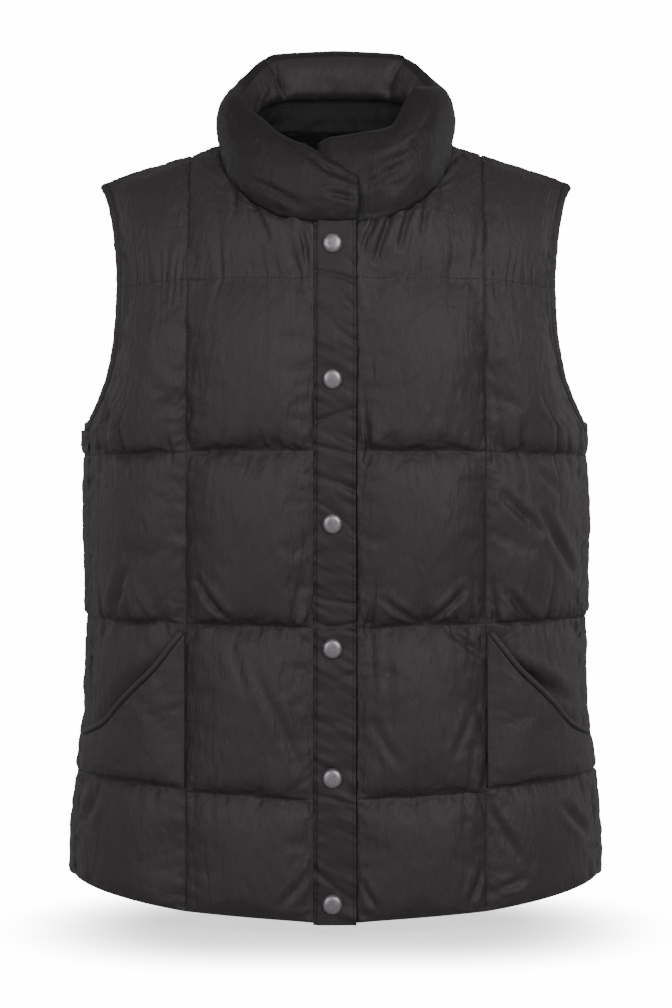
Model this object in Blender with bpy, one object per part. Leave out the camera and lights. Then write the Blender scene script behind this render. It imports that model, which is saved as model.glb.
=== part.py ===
"""A sleeveless quilted puffer vest, filled out as it is when worn, piece by piece as it is cut and sewn.

Metres, +Z up, front towards -Y, +X at the viewer's right. The origin lies between the two high
shoulder points. Every piece of cloth is a closed wall: a plain inner wall on the worn form, and an
outer wall moved out from it by the thickness of the padding.
"""

import math

import bmesh
import bpy
from mathutils import Vector

# Wall and seams.
SEAM_GAP = 0.0003
STITCHED_WALL = 0.0050
SHELL_CLOTH = 0.0026

# The worn form below the shoulders: one row for each level of the body, inner wall.
FORM_LEVELS = (
    # height, half width, front depth, back depth
    (-0.610, 0.2105, 0.1120, 0.1110),
    (-0.508, 0.2035, 0.1085, 0.1080),
    (-0.450, 0.1960, 0.1055, 0.1025),
    (-0.380, 0.1950, 0.1030, 0.0970),
    (-0.300, 0.1965, 0.1045, 0.1000),
    (-0.200, 0.1990, 0.1030, 0.1060),
)
SQUARENESS = 2.3
DOME_BASE = -0.200
SEAM_ANGLE = math.radians(76)
SHOULDER_SEAM_ANGLE = math.radians(80)

# Shoulders and neck.
NECK_HALF_WIDTH = 0.088
SHOULDER_SLOPE = 0.305
RIDGE_DROP = 0.0058
NECK_RISE = 0.0583
FRONT_NECK_HEIGHT = -0.0725
BACK_NECK_HEIGHT = 0.012
NECK_FRONT = 0.0885
NECK_CENTRE = Vector((0.0, 0.0, 0.05))

# Quilting: the vertical line, and the height of each row at the centre, at that line and at the side.
QUILT_X = 0.114
FRONT_ROWS = (
    # centre, quilt line, side
    (-0.6025, -0.5965, -0.5795),
    (-0.5100, -0.5055, -0.4985),
    (-0.3806, -0.3780, -0.3770),
    (-0.2460, -0.2465, -0.2500),
    (-0.1150, -0.1148, -0.1200),
)
BACK_ROWS = (
    # centre, quilt line, side
    (-0.5990, -0.5955, -0.5795),
    (-0.5080, -0.5050, -0.4985),
    (-0.3800, -0.3780, -0.3770),
    (-0.2460, -0.2465, -0.2500),
    (-0.1150, -0.1150, -0.1200),
)
# How the levels of the mesh are shared out in each band between rows, from the hem up.
BAND_LEVELS = (
    (0.00, 0.14, 0.38, 0.66, 0.88),
    (0.00, 0.09, 0.30, 0.55, 0.80, 0.94),
    (0.00, 0.09, 0.30, 0.55, 0.80, 0.94),
    (0.00, 0.07, 0.17, 0.22, 0.28, 0.35, 0.44, 0.55, 0.72, 0.88),
)
YOKE_LEVELS = (0.00, 0.10, 0.22, 0.34, 0.48, 0.62, 0.70, 0.78, 0.86, 0.93, 1.00)
FRONT_NECK_LEVEL = 0.34
BACK_NECK_LEVEL = 0.62
UNDERARM_LEVEL = 0.17
# The height the padding stands over its stitching in each band, from the hem up.
BAND_PUFF = (0.0065, 0.0090, 0.0100, 0.0095, 0.0070)
SIDE_PUFF = 0.45

# The panel's edge round the armhole, above the side seam: one row for each level up to the yoke.
ARMHOLE = (
    # level, front angle, front height, back angle, back height
    (0.17, 76.0, -0.2300, 76.0, -0.2300),
    (0.22, 73.0, -0.2265, 83.0, -0.2288),
    (0.28, 69.6, -0.2215, 91.0, -0.2260),
    (0.35, 65.6, -0.2140, 98.5, -0.2205),
    (0.44, 61.8, -0.2040, 106.0, -0.2110),
    (0.55, 58.2, -0.1900, 113.0, -0.1970),
    (0.72, 55.2, -0.1670, 119.5, -0.1710),
    (0.88, 53.8, -0.1430, 122.5, -0.1440),
    (1.00, 53.3, -0.1200, 123.0, -0.1200),
)
YOKE_EDGE_ANGLE = 53.3
BACK_YOKE_EDGE_ANGLE = 57.0
SHOULDER_EDGE_ANGLE = 63.5
EDGE_BEND = 0.6
BINDING_WIDTH = 0.0060
ARMHOLE_CENTRE = Vector((0.186, 0.000, -0.125))

# Front closing: the right front's placket lies over the left front's.
PLACKET_STITCH_X = -0.0170
PLACKET_FREE_X = 0.0155
UNDER_PLACKET_X = -0.0140
PLACKET_WALL = 0.0032
PLACKET_DROP = 0.0015
SNAP_HEIGHTS = (-0.0905, -0.1925, -0.3020, -0.3965, -0.4940, -0.5885)
SNAP_X = -0.0027
SNAP_RADIUS = 0.0076
SNAP_HEIGHT = 0.0034

# Pockets: the mouth runs from the quilt line just under a row down to the side seam.
POCKET_BAND = 1
POCKET_TOP = 0.95
POCKET_FALL = 0.785
POCKET_BEND = 1.65
POCKET_WALL = 0.0026
POCKET_MARGIN = 0.16
POCKET_PUFF = 0.0045
POCKET_GAPE = {"right": 0.0012, "left": 0.0030}
WELT_WIDTH = 0.0055

# Collar: its rim, and how far its ends pass each other at the front.
COLLAR_RIM = (
    # angle from the front, height at the wearer's right, height at the wearer's left
    (0, -0.0125, -0.0040),
    (15, -0.0100, 0.0000),
    (30, 0.0000, 0.0060),
    (42, 0.0110, 0.0240),
    (55, 0.0210, 0.0385),
    (78, 0.0385, 0.0430),
    (105, 0.0525, 0.0545),
    (130, 0.0710, 0.0725),
    (148, 0.0805, 0.0810),
    (180, 0.0845, 0.0845),
)
RIM_HALF_WIDTH = 0.0785
RIM_FRONT = 0.0800
RIM_BACK = 0.0700
COLLAR_PADDING = 0.0150
COLLAR_END_WALL = 0.0042
COLLAR_BULGE = {"front": 0.0050, "side": 0.0022}
COLLAR_LAP = 0.0030
COLLAR_STAND_OFF = 0.0020
COLLAR_CORNER_DROP = 0.0190

# Gathers: alternate columns of the outer wall stand up beside a row and sink back, uneven in height.
GATHER_HEIGHT = 0.0016
GATHER_ROWS = {2: 1.0, 3: 1.0, 1: 0.45, 4: 0.35}
NECK_GATHER = 1.1
FOLDS = (
    # panel, start x, start height, end x, end height, half width, depth
    ("front_right", -0.103, -0.360, -0.079, -0.385, 0.011, 0.0030),
    ("front_right", -0.076, -0.385, -0.030, -0.500, 0.012, 0.0028),
    ("front_right", -0.178, -0.545, -0.165, -0.500, 0.013, 0.0035),
    ("front_right", -0.062, -0.070, -0.050, -0.110, 0.010, 0.0026),
    ("front_right", -0.150, -0.300, -0.128, -0.355, 0.012, 0.0026),
    ("front_left", 0.071, -0.376, 0.095, -0.352, 0.011, 0.0030),
    ("front_left", 0.126, -0.282, 0.150, -0.308, 0.012, 0.0034),
    ("front_left", 0.152, -0.295, 0.177, -0.340, 0.013, 0.0034),
    ("front_left", 0.038, -0.388, 0.040, -0.460, 0.011, 0.0024),
    ("front_left", 0.103, -0.428, 0.126, -0.500, 0.012, 0.0030),
    ("front_left", 0.052, -0.062, 0.022, -0.108, 0.010, 0.0028),
    ("back", -0.150, -0.280, -0.125, -0.345, 0.013, 0.0032),
    ("back", 0.060, -0.395, 0.090, -0.470, 0.012, 0.0028),
    ("back", 0.135, -0.420, 0.168, -0.470, 0.013, 0.0032),
    ("back", -0.070, -0.130, -0.048, -0.205, 0.012, 0.0026),
    ("back", -0.105, -0.520, -0.130, -0.575, 0.012, 0.0028),
)

CELL_COLUMNS = 9
FRONT_SIDE_COLUMNS = 8
BACK_SIDE_COLUMNS = 11
POCKET_ROWS = 6
PLACKET_COLUMNS = 4
COLLAR_STATIONS = 46
COLLAR_SECTION = (0.10, 0.30, 0.56, 0.80, 0.93, 1.0)
SNAP_STEPS = 16


def mix(start, end, share):
    """The value or point at a share of the way from start to end."""
    return start + (end - start) * share


def read_table(table, key, column):
    """A column of a table read smoothly at a key that lies between two of its rows."""
    if key <= table[0][0]:
        return table[0][column]
    for low, high in zip(table, table[1:]):
        if key <= high[0]:
            share = (key - low[0]) / (high[0] - low[0])
            return mix(low[column], high[column], share * share * (3 - 2 * share))
    return table[-1][column]


def ridge_height(x):
    """The top of the shoulder over a distance from the centre, rising towards the neck."""
    if abs(x) > NECK_HALF_WIDTH:
        return (NECK_HALF_WIDTH - abs(x)) * SHOULDER_SLOPE - RIDGE_DROP
    return NECK_RISE * (1 - (x / NECK_HALF_WIDTH) ** 2) - RIDGE_DROP


def section(height):
    """Half width, front depth and back depth of the form at a height."""
    return tuple(read_table(FORM_LEVELS, height, column) for column in (1, 2, 3))


def angle_at(x, height):
    """The angle round the form, from the front, at a distance from the centre."""
    half_width = section(height)[0]
    return math.asin(min(1.0, (abs(x) / half_width) ** (SQUARENESS / 2)))


def dome_angle(x, height):
    """How far over the shoulder a height lies: 0 at the dome's base, a right angle on the ridge."""
    rise = (height - DOME_BASE) / (ridge_height(x) - DOME_BASE)
    return math.asin(max(0.0, min(1.0, rise)))


def form_point(angle, height=None, dome=0.0):
    """A point of the inner wall at an angle round the form and a height, or an angle over the dome."""
    over = height is None
    half_width, front, back = section(DOME_BASE if over else height)
    x = half_width * abs(math.sin(angle)) ** (2 / SQUARENESS)
    fullness = abs(math.cos(angle)) ** (2 / SQUARENESS)
    behind = math.cos(angle) < 0
    if over:
        height = mix(DOME_BASE, ridge_height(x), math.sin(dome))
        crossed = math.cos(dome) < 0
        depth = back if behind != crossed else front
        y = depth * fullness * math.cos(dome)
    else:
        y = (back if behind else front) * fullness * math.cos(dome_angle(x, height))
    return Vector((x, y if behind else -y, height))


def form_normal(angle, height=None, dome=0.0):
    """The outward direction of the form at one of its points."""
    step = 1e-4
    across = form_point(angle + step, height, dome) - form_point(angle - step, height, dome)
    if abs(math.sin(angle)) < 2 * step:
        across = Vector((1.0 if math.cos(angle) > 0 else -1.0, 0, 0))
    if height is None:
        up = form_point(angle, None, dome + step) - form_point(angle, None, dome - step)
    else:
        up = form_point(angle, height + step) - form_point(angle, height - step)
    return across.cross(up).normalized()


def cell_profile(share):
    """How full the padding is across one quilted cell, from 0 on its stitching to 1 in the middle."""
    return 1 - abs(2 * share - 1) ** 2.6


def uneven(*numbers):
    """A fixed, uneven value between -1 and 1 for each set of numbers."""
    return math.sin(sum(number * weight for number, weight in zip(numbers, (12.9, 7.7, 3.1, 5.3))))


def fold_depth(name, point):
    """How far the folds of a panel press its outer wall in at a point."""
    depth = 0.0
    for panel, x0, z0, x1, z1, half_width, fold in FOLDS:
        if panel != name:
            continue
        along = Vector((x1 - x0, z1 - z0))
        away = Vector((point.x - x0, point.z - z0))
        share = max(0.0, min(1.0, away.dot(along) / along.length_squared))
        gap = (away - along * share).length / half_width
        depth += fold * math.exp(-gap * gap) * math.sin(math.pi * mix(0.15, 0.85, share))
    return depth


def panel_levels():
    """Each level of the mesh as its band and its share of that band, from the hem to the shoulder."""
    levels = [(band, share) for band, shares in enumerate(BAND_LEVELS) for share in shares]
    return levels + [(len(BAND_LEVELS), share) for share in YOKE_LEVELS]


def centre_x(is_back, side):
    """Where a panel starts at the centre of the front or of the back."""
    if is_back:
        return 0.0
    return -PLACKET_STITCH_X if side == "right" else PLACKET_FREE_X + SEAM_GAP


def body_level(band, share, rows, is_back):
    """Heights at the centre, the quilt line and the edge, and the edge's angle, under the yoke."""
    centre, quilt, edge = (mix(rows[band][k], rows[band + 1][k], share) for k in range(3))
    gap = SEAM_GAP / 2 / section(edge)[1]
    edge_angle = SEAM_ANGLE + (gap if is_back else -gap)
    if band == len(BAND_LEVELS) - 1 and share > UNDERARM_LEVEL:
        columns = (3, 4) if is_back else (1, 2)
        angle, edge = (read_table(ARMHOLE, share, column) for column in columns)
        edge_angle = math.radians(angle)
    elif band == len(BAND_LEVELS) - 1:
        edge = mix(rows[band][2], ARMHOLE[0][2], share / UNDERARM_LEVEL)
    return centre, quilt, edge, edge_angle


def body_places(band, share, rows, start_x, is_back, side_columns):
    """Where one level of a panel lies on the form under the yoke, from the centre to the edge."""
    centre, quilt, edge, edge_angle = body_level(band, share, rows, is_back)
    places = []
    for column in range(CELL_COLUMNS):
        part = column / CELL_COLUMNS
        height = mix(centre, quilt, part)
        angle = angle_at(mix(start_x, QUILT_X, part), height)
        places.append((math.pi - angle if is_back else angle, height, 0.0))
    quilt_angle = angle_at(QUILT_X, quilt)
    if is_back:
        quilt_angle = math.pi - quilt_angle
    for column in range(side_columns + 1):
        part = column / side_columns
        height = mix(quilt, edge, part ** EDGE_BEND)
        places.append((mix(quilt_angle, edge_angle, part), height, 0.0))
    return places


def neck_place(share, is_back, start_x):
    """The angle round the form and over the dome at a share of the way up the neck edge."""
    turn = max(0.0, share) * math.pi / 2
    x = mix(start_x, NECK_HALF_WIDTH, math.sin(turn))
    if is_back:
        top = math.pi - SHOULDER_SEAM_ANGLE
        dome = mix(dome_angle(0.0, BACK_NECK_HEIGHT), top, 1 - math.cos(turn))
    else:
        top = mix(DOME_BASE, ridge_height(NECK_HALF_WIDTH), math.sin(SHOULDER_SEAM_ANGLE))
        dome = dome_angle(x, mix(top, FRONT_NECK_HEIGHT, math.cos(turn)))
    return x, dome


def yoke_places(share, rows, start_x, is_back, side_columns):
    """Where one level of a panel lies on the form between the yoke row and the shoulder seam."""
    centre, quilt, edge = rows[-1]
    gap = SEAM_GAP / 2 / section(DOME_BASE)[1]
    top = math.pi - SHOULDER_SEAM_ANGLE - gap if is_back else SHOULDER_SEAM_ANGLE - gap
    neck_level = BACK_NECK_LEVEL if is_back else FRONT_NECK_LEVEL
    neck_height = BACK_NECK_HEIGHT if is_back else FRONT_NECK_HEIGHT
    if share <= neck_level:
        x0 = start_x
        dome0 = dome_angle(x0, mix(centre, neck_height, share / neck_level))
    else:
        x0, dome0 = neck_place((share - neck_level) / (1 - neck_level), is_back, start_x)
        dome0 = min(dome0, top)
    dome1 = mix(dome_angle(QUILT_X, quilt), top, share)
    first_angle = BACK_YOKE_EDGE_ANGLE if is_back else YOKE_EDGE_ANGLE
    edge_angle = math.radians(mix(first_angle, SHOULDER_EDGE_ANGLE, share ** 1.5))
    edge_x = section(DOME_BASE)[0] * math.sin(edge_angle) ** (2 / SQUARENESS)
    dome2 = mix(dome_angle(edge_x, edge), top, share)
    quilt_angle = angle_at(QUILT_X, DOME_BASE)
    places = []
    for column in range(CELL_COLUMNS):
        part = column / CELL_COLUMNS
        angle = angle_at(mix(x0, QUILT_X, part), DOME_BASE)
        places.append((math.pi - angle if is_back else angle, None, mix(dome0, dome1, part)))
    for column in range(side_columns + 1):
        part = column / side_columns
        angle = mix(quilt_angle, edge_angle, part)
        places.append((math.pi - angle if is_back else angle, None, mix(dome1, dome2, part)))
    return places


def padding(name, level, column, side_columns, point, covered):
    """Thickness of the wall at a place on a quilted panel."""
    band, share = panel_levels()[level]
    neck_level = BACK_NECK_LEVEL if name == "back" else FRONT_NECK_LEVEL
    in_side = column >= CELL_COLUMNS
    part = (column - CELL_COLUMNS) / side_columns if in_side else column / CELL_COLUMNS
    roll = max(0.0, min(1.0, (abs(point.x) - 0.15) / 0.04))
    puff = BAND_PUFF[band] * cell_profile(part) * mix(1.0, SIDE_PUFF, roll)
    if band == len(BAND_LEVELS):
        puff *= cell_profile(0.5 * share) if share < 1 else 0.25
        puff *= mix(1.0, 0.15, share)
    else:
        puff *= cell_profile(share)
    if covered:
        puff *= 0.25
    gather = 0.0
    strength = GATHER_ROWS.get(band, 0.0)
    if 0 < share < 0.3 and 0 < part < 1:
        gather = strength * (1 - share / 0.3)
    if 0.8 < share < 1 and 0 < part < 1:
        gather = 0.5 * GATHER_ROWS.get(band + 1, 0.0) * (share - 0.8) / 0.2
    turn = column
    if band == len(BAND_LEVELS) and not in_side and column and neck_level < share < 1:
        gather = NECK_GATHER * (1 - part)
        turn = level
    wave = (1 if turn % 2 else -1) * (0.65 + 0.35 * uneven(turn, band, len(name)))
    wall = STITCHED_WALL + puff + GATHER_HEIGHT * gather * wave
    return max(0.7 * STITCHED_WALL, wall - min(fold_depth(name, point), 0.6 * puff))


def quilted_panel(name, is_back, side=None):
    """The inner and outer grids of a panel's half at +X, or of the back's half at one side."""
    rows = BACK_ROWS if is_back else FRONT_ROWS
    start_x = centre_x(is_back, side)
    side_columns = BACK_SIDE_COLUMNS if is_back else FRONT_SIDE_COLUMNS
    levels = panel_levels()
    inner, normals = [], []
    for band, share in levels:
        place_level = body_places if band < len(BAND_LEVELS) else yoke_places
        order = (band,) if band < len(BAND_LEVELS) else ()
        places = place_level(*order, share, rows, start_x, is_back, side_columns)
        inner.append([form_point(*place) for place in places])
        normals.append([form_normal(*place) for place in places])
    sign = -1 if side == "right" else 1
    outer = []
    for level, (points, row) in enumerate(zip(inner, normals)):
        band, share = levels[level]
        line = []
        for column, (point, normal) in enumerate(zip(points, row)):
            in_side = column > CELL_COLUMNS and not is_back
            mouth = pocket_mouth(max(0.0, (column - CELL_COLUMNS) / side_columns))
            covered = in_side and band == POCKET_BAND and share < mouth + POCKET_MARGIN
            seen = Vector((sign * point.x, point.y, point.z))
            wall = padding(name, level, column, side_columns, seen, covered)
            line.append(point + normal * wall)
        outer.append(line)
    return {"inner": inner, "outer": outer, "normals": normals}


def pocket_mouth(part):
    """The share of its band at which the pocket's mouth crosses, from the quilt line to the side."""
    return POCKET_TOP - POCKET_FALL * (1 - (1 - part) ** POCKET_BEND)


def mirrored_grid(grid):
    """A grid of points turned to the other side of the body, still wound outwards."""
    return [[Vector((-p.x, p.y, p.z)) for p in points][::-1] for points in grid]


def wall_mesh(name, inner, outer, open_centre=False):
    """A closed wall between two grids of the same size, or that wall and its mirror image as one."""
    mesh = bmesh.new()
    levels, columns = len(inner), len(inner[0])
    bmesh.ops.create_grid(mesh, x_segments=columns - 1, y_segments=levels - 1, size=0.5)
    places = {}
    for vertex in mesh.verts:
        column = round((vertex.co.x + 0.5) * (columns - 1))
        level = round((vertex.co.y + 0.5) * (levels - 1))
        places[vertex] = (level, column)
    inner_faces = mesh.faces[:]
    skin = bmesh.ops.extrude_face_region(mesh, geom=inner_faces, use_keep_orig=True)
    moved = [item for item in skin["geom"] if isinstance(item, bmesh.types.BMVert)]
    for vertex in moved:
        column = round((vertex.co.x + 0.5) * (columns - 1))
        level = round((vertex.co.y + 0.5) * (levels - 1))
        vertex.co = outer[level][column]
    for vertex, (level, column) in places.items():
        vertex.co = inner[level][column]
    if open_centre:
        flat = [f for f in mesh.faces if all(abs(v.co.x) < 1e-6 for v in f.verts)]
        bmesh.ops.delete(mesh, geom=flat, context="FACES_ONLY")
        mirror = bmesh.ops.duplicate(mesh, geom=mesh.verts[:] + mesh.edges[:] + mesh.faces[:])
        twins = [item for item in mirror["geom"] if isinstance(item, bmesh.types.BMVert)]
        bmesh.ops.scale(mesh, vec=(-1, 1, 1), verts=twins)
        bmesh.ops.remove_doubles(mesh, verts=mesh.verts[:], dist=1e-6)
    bmesh.ops.triangulate(mesh, faces=mesh.faces[:])
    bmesh.ops.recalc_face_normals(mesh, faces=mesh.faces[:])
    data = bpy.data.meshes.new(name)
    mesh.to_mesh(data)
    mesh.free()
    return data


def ring_mesh(name, stations, closed):
    """A tube through stations, each a loop of points, joined end to end or capped at both ends."""
    mesh = bmesh.new()
    loops = []
    for station in stations:
        verts = [mesh.verts.new(point) for point in station]
        edges = [mesh.edges.new(pair) for pair in zip(verts, verts[1:] + verts[:1])]
        loops.append(edges)
    pairs = list(zip(loops, loops[1:])) + ([(loops[-1], loops[0])] if closed else [])
    for first, second in pairs:
        bridge(mesh, first, second)
    if not closed:
        for loop in (loops[0], loops[-1]):
            bmesh.ops.contextual_create(mesh, geom=loop)
    bmesh.ops.triangulate(mesh, faces=mesh.faces[:])
    bmesh.ops.recalc_face_normals(mesh, faces=mesh.faces[:])
    data = bpy.data.meshes.new(name)
    mesh.to_mesh(data)
    mesh.free()
    return data


def bridge(mesh, first, second):
    """Faces between two loops of edges made in the same order."""
    for low, high in zip(first, second):
        a, b = low.verts
        c, d = high.verts
        mesh.faces.new((a, b, d, c))


def finish_material(name, colour, roughness, metallic=0.0):
    """A Principled material of one colour."""
    material = bpy.data.materials.new(name)
    material.use_nodes = True
    shader = material.node_tree.nodes["Principled BSDF"]
    shader.inputs["Base Color"].default_value = (*colour, 1)
    shader.inputs["Roughness"].default_value = roughness
    shader.inputs["Metallic"].default_value = metallic
    return material


def add_part(name, data, material, collection):
    """Adds a finished mesh as one named piece."""
    piece = bpy.data.objects.new(name, data)
    data.materials.append(material)
    collection.objects.link(piece)
    return piece


def grid_place(grid, level, column):
    """The point of a grid between its own points, as its faces run."""
    row, step = int(min(level, len(grid) - 1.0001)), int(min(column, len(grid[0]) - 1.0001))
    up, over = level - row, column - step
    low = mix(grid[row][step], grid[row][step + 1], over)
    high = mix(grid[row + 1][step], grid[row + 1][step + 1], over)
    return mix(low, high, up)


def level_in_band(band, share):
    """The place of a share of a band among the levels of the mesh."""
    start = sum(len(BAND_LEVELS[k]) for k in range(band))
    shares = BAND_LEVELS[band] + (1.0,)
    for step, (low, high) in enumerate(zip(shares, shares[1:])):
        if share <= high:
            return start + step + (share - low) / (high - low)
    return start + len(BAND_LEVELS[band])


def pocket_grids(panel, side):
    """The inner and outer grids of the pocket's layer, from the panel's outer points moved out."""
    inner, outer = [], []
    for row in range(POCKET_ROWS + 1):
        rise = row / POCKET_ROWS
        low, high = [], []
        for column in range(FRONT_SIDE_COLUMNS + 1):
            part = column / FRONT_SIDE_COLUMNS
            level = level_in_band(POCKET_BAND, mix(0.02, pocket_mouth(part), rise))
            place = CELL_COLUMNS + mix(0.08, FRONT_SIDE_COLUMNS - 0.08, part)
            base = grid_place(panel["outer"], level, place)
            normal = grid_place(panel["normals"], level, place).normalized()
            lift = 3 * SEAM_GAP + POCKET_GAPE[side] * rise ** 3 * math.sin(math.pi * part)
            puff = POCKET_PUFF * cell_profile(part) * cell_profile(mix(0.04, 0.80, rise))
            low.append(base + normal * lift)
            high.append(base + normal * (lift + POCKET_WALL + puff))
        inner.append(low)
        outer.append(high)
    return inner, outer


def edge_strip(inner_edge, outer_edge, towards, width, thinning):
    """Stations of a strip that lies beyond an edge, from the edge's own points moved out."""
    stations = []
    last = len(inner_edge) - 1
    for k, (low, high) in enumerate(zip(inner_edge, outer_edge)):
        along = inner_edge[min(last, k + 1)] - inner_edge[max(0, k - 1)]
        away = along.cross(high - low).normalized()
        away *= 1 if away.dot(towards - low) > 0 else -1
        middle, half = (low + high) / 2, (high - low) / 2
        stations.append((
            low + away * SEAM_GAP,
            high + away * SEAM_GAP,
            middle + half * thinning + away * (SEAM_GAP + width),
            middle - half * thinning + away * (SEAM_GAP + width),
        ))
    return stations


def armhole_stations(front, back):
    """The armhole binding's stations: up the front's edge, over the shoulder and down the back's."""
    first = round(level_in_band(len(BAND_LEVELS) - 1, UNDERARM_LEVEL))
    inner_edge, outer_edge = [], []
    for panel, order in ((front, 1), (back, -1)):
        inner_edge += [points[-1] for points in panel["inner"][first:]][::order]
        outer_edge += [points[-1] for points in panel["outer"][first:]][::order]
    return edge_strip(inner_edge, outer_edge, ARMHOLE_CENTRE, BINDING_WIDTH, 0.75)


def placket_levels():
    """Heights of the placket's levels, from the hem to the neck seam."""
    heights = []
    for band, share in panel_levels():
        if band < len(BAND_LEVELS):
            heights.append(mix(FRONT_ROWS[band][0], FRONT_ROWS[band + 1][0], share))
        elif share <= FRONT_NECK_LEVEL:
            heights.append(mix(FRONT_ROWS[-1][0], FRONT_NECK_HEIGHT, share / FRONT_NECK_LEVEL))
    return heights


def front_point(x, height, out):
    """A point in front of the form near the centre, moved out from the inner wall."""
    angle = angle_at(x, height)
    dome = dome_angle(x, height)
    point = form_point(angle, height)
    lean = Vector((0, -math.cos(dome), math.sin(dome)))
    return Vector((x, point.y, height)) + lean * out


def placket_grids(x_start, x_end, base, wall, drop):
    """The inner and outer grids of a strip down the centre of the front."""
    inner, outer = [], []
    heights = placket_levels()
    heights[0] -= drop
    for height in heights:
        xs = [mix(x_start, x_end, k / PLACKET_COLUMNS) for k in range(PLACKET_COLUMNS + 1)]
        inner.append([front_point(x, height, base) for x in xs])
        outer.append([front_point(x, height, base + wall) for x in xs])
    return inner, outer


def snap_object(name, height, material, collection):
    """A domed snap cap, turned from its profile, seated on the placket."""
    out = STITCHED_WALL - 0.0021 + SEAM_GAP + PLACKET_WALL + 2 * SEAM_GAP
    seat = front_point(SNAP_X, height, out)
    beyond = front_point(SNAP_X, height + 0.001, out) - seat
    normal = Vector((1, 0, 0)).cross(beyond).normalized()
    profile = ((0, 1.0), (0.45, 0.97), (0.75, 0.84), (0.93, 0.58), (1.0, 0.30), (1.0, 0.0), (0, 0))
    mesh = bmesh.new()
    verts = [mesh.verts.new((SNAP_RADIUS * r, 0, SNAP_HEIGHT * h)) for r, h in profile]
    edges = [mesh.edges.new(pair) for pair in zip(verts, verts[1:])]
    bmesh.ops.spin(
        mesh, geom=verts + edges, cent=(0, 0, 0), axis=(0, 0, 1), angle=2 * math.pi,
        steps=SNAP_STEPS, use_merge=True,
    )
    bmesh.ops.remove_doubles(mesh, verts=mesh.verts[:], dist=1e-6)
    bmesh.ops.triangulate(mesh, faces=mesh.faces[:])
    bmesh.ops.recalc_face_normals(mesh, faces=mesh.faces[:])
    data = bpy.data.meshes.new(name)
    mesh.to_mesh(data)
    mesh.free()
    data.shade_smooth()
    snap = add_part(name, data, material, collection)
    snap.rotation_mode = "QUATERNION"
    snap.rotation_quaternion = normal.to_track_quat("Z", "Y")
    snap.location = seat


def neck_edge(fronts, back):
    """The neck seam as the edge points of the panels, from the centre front to the centre back."""
    edge = []
    for panel, neck_level, order in ((fronts["left"], FRONT_NECK_LEVEL, 1), (back, BACK_NECK_LEVEL, -1)):
        first = len(panel["inner"]) - sum(1 for share in YOKE_LEVELS if share >= neck_level)
        pairs = [(low[0], high[0]) for low, high in zip(panel["inner"][first:], panel["outer"][first:])]
        edge += pairs[::order]
    return edge


def collar_feet(edge):
    """The collar's inner and outer foot beyond each point of the neck seam, a gap away from it."""
    feet = []
    last = len(edge) - 1
    for k, (low, high) in enumerate(edge):
        before, beyond = edge[max(0, k - 1)][0], edge[min(last, k + 1)][0]
        if k == last:
            beyond = Vector((-before.x, before.y, before.z))
        away = (beyond - before).cross(high - low).normalized()
        away *= 1 if away.dot(NECK_CENTRE - low) > 0 else -1
        feet.append((low + away * 2 * SEAM_GAP, high + away * COLLAR_STAND_OFF))
    return feet


def collar_base(feet, angle):
    """Inner and outer foot of the collar against the neck seam, at an angle round the neck."""
    side = 1 if math.sin(angle) >= 0 else -1
    target = math.acos(max(-1.0, min(1.0, math.cos(angle))))
    turns = [math.atan2(low.x / NECK_HALF_WIDTH, -low.y / NECK_FRONT) for low, _ in feet]
    turns[0], turns[-1] = 0.0, math.pi
    step = max(k for k in range(len(feet) - 1) if turns[k] <= target or k == 0)
    share = (target - turns[step]) / (turns[step + 1] - turns[step])
    foot = [mix(feet[step][k], feet[step + 1][k], min(1.0, share)) for k in (0, 1)]
    if step == 0:
        for point in foot:
            point.x = RIM_HALF_WIDTH * math.sin(target)
    return [Vector((side * point.x, point.y, point.z)) for point in foot]


def collar_rim(angle, lap_end):
    """The middle of the rim at an angle round the neck from the front."""
    degrees = math.degrees(math.acos(max(-1.0, min(1.0, math.cos(angle)))))
    column = 2 if math.sin(angle) > 0 else 1
    if abs(angle) < math.radians(25) or abs(angle - 2 * math.pi) < math.radians(25):
        column = 2 if angle < math.pi else 1
    height = read_table(COLLAR_RIM, degrees, column)
    behind = math.cos(angle) < 0
    power = 2 / 2.7 if behind else 2 / 2.1
    x = RIM_HALF_WIDTH * abs(math.sin(angle)) ** power * (1 if math.sin(angle) >= 0 else -1)
    depth = RIM_BACK if behind else -RIM_FRONT
    y = depth * abs(math.cos(angle)) ** power
    if lap_end:
        height -= COLLAR_CORNER_DROP * lap_end
    return Vector((x, y, height))


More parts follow.
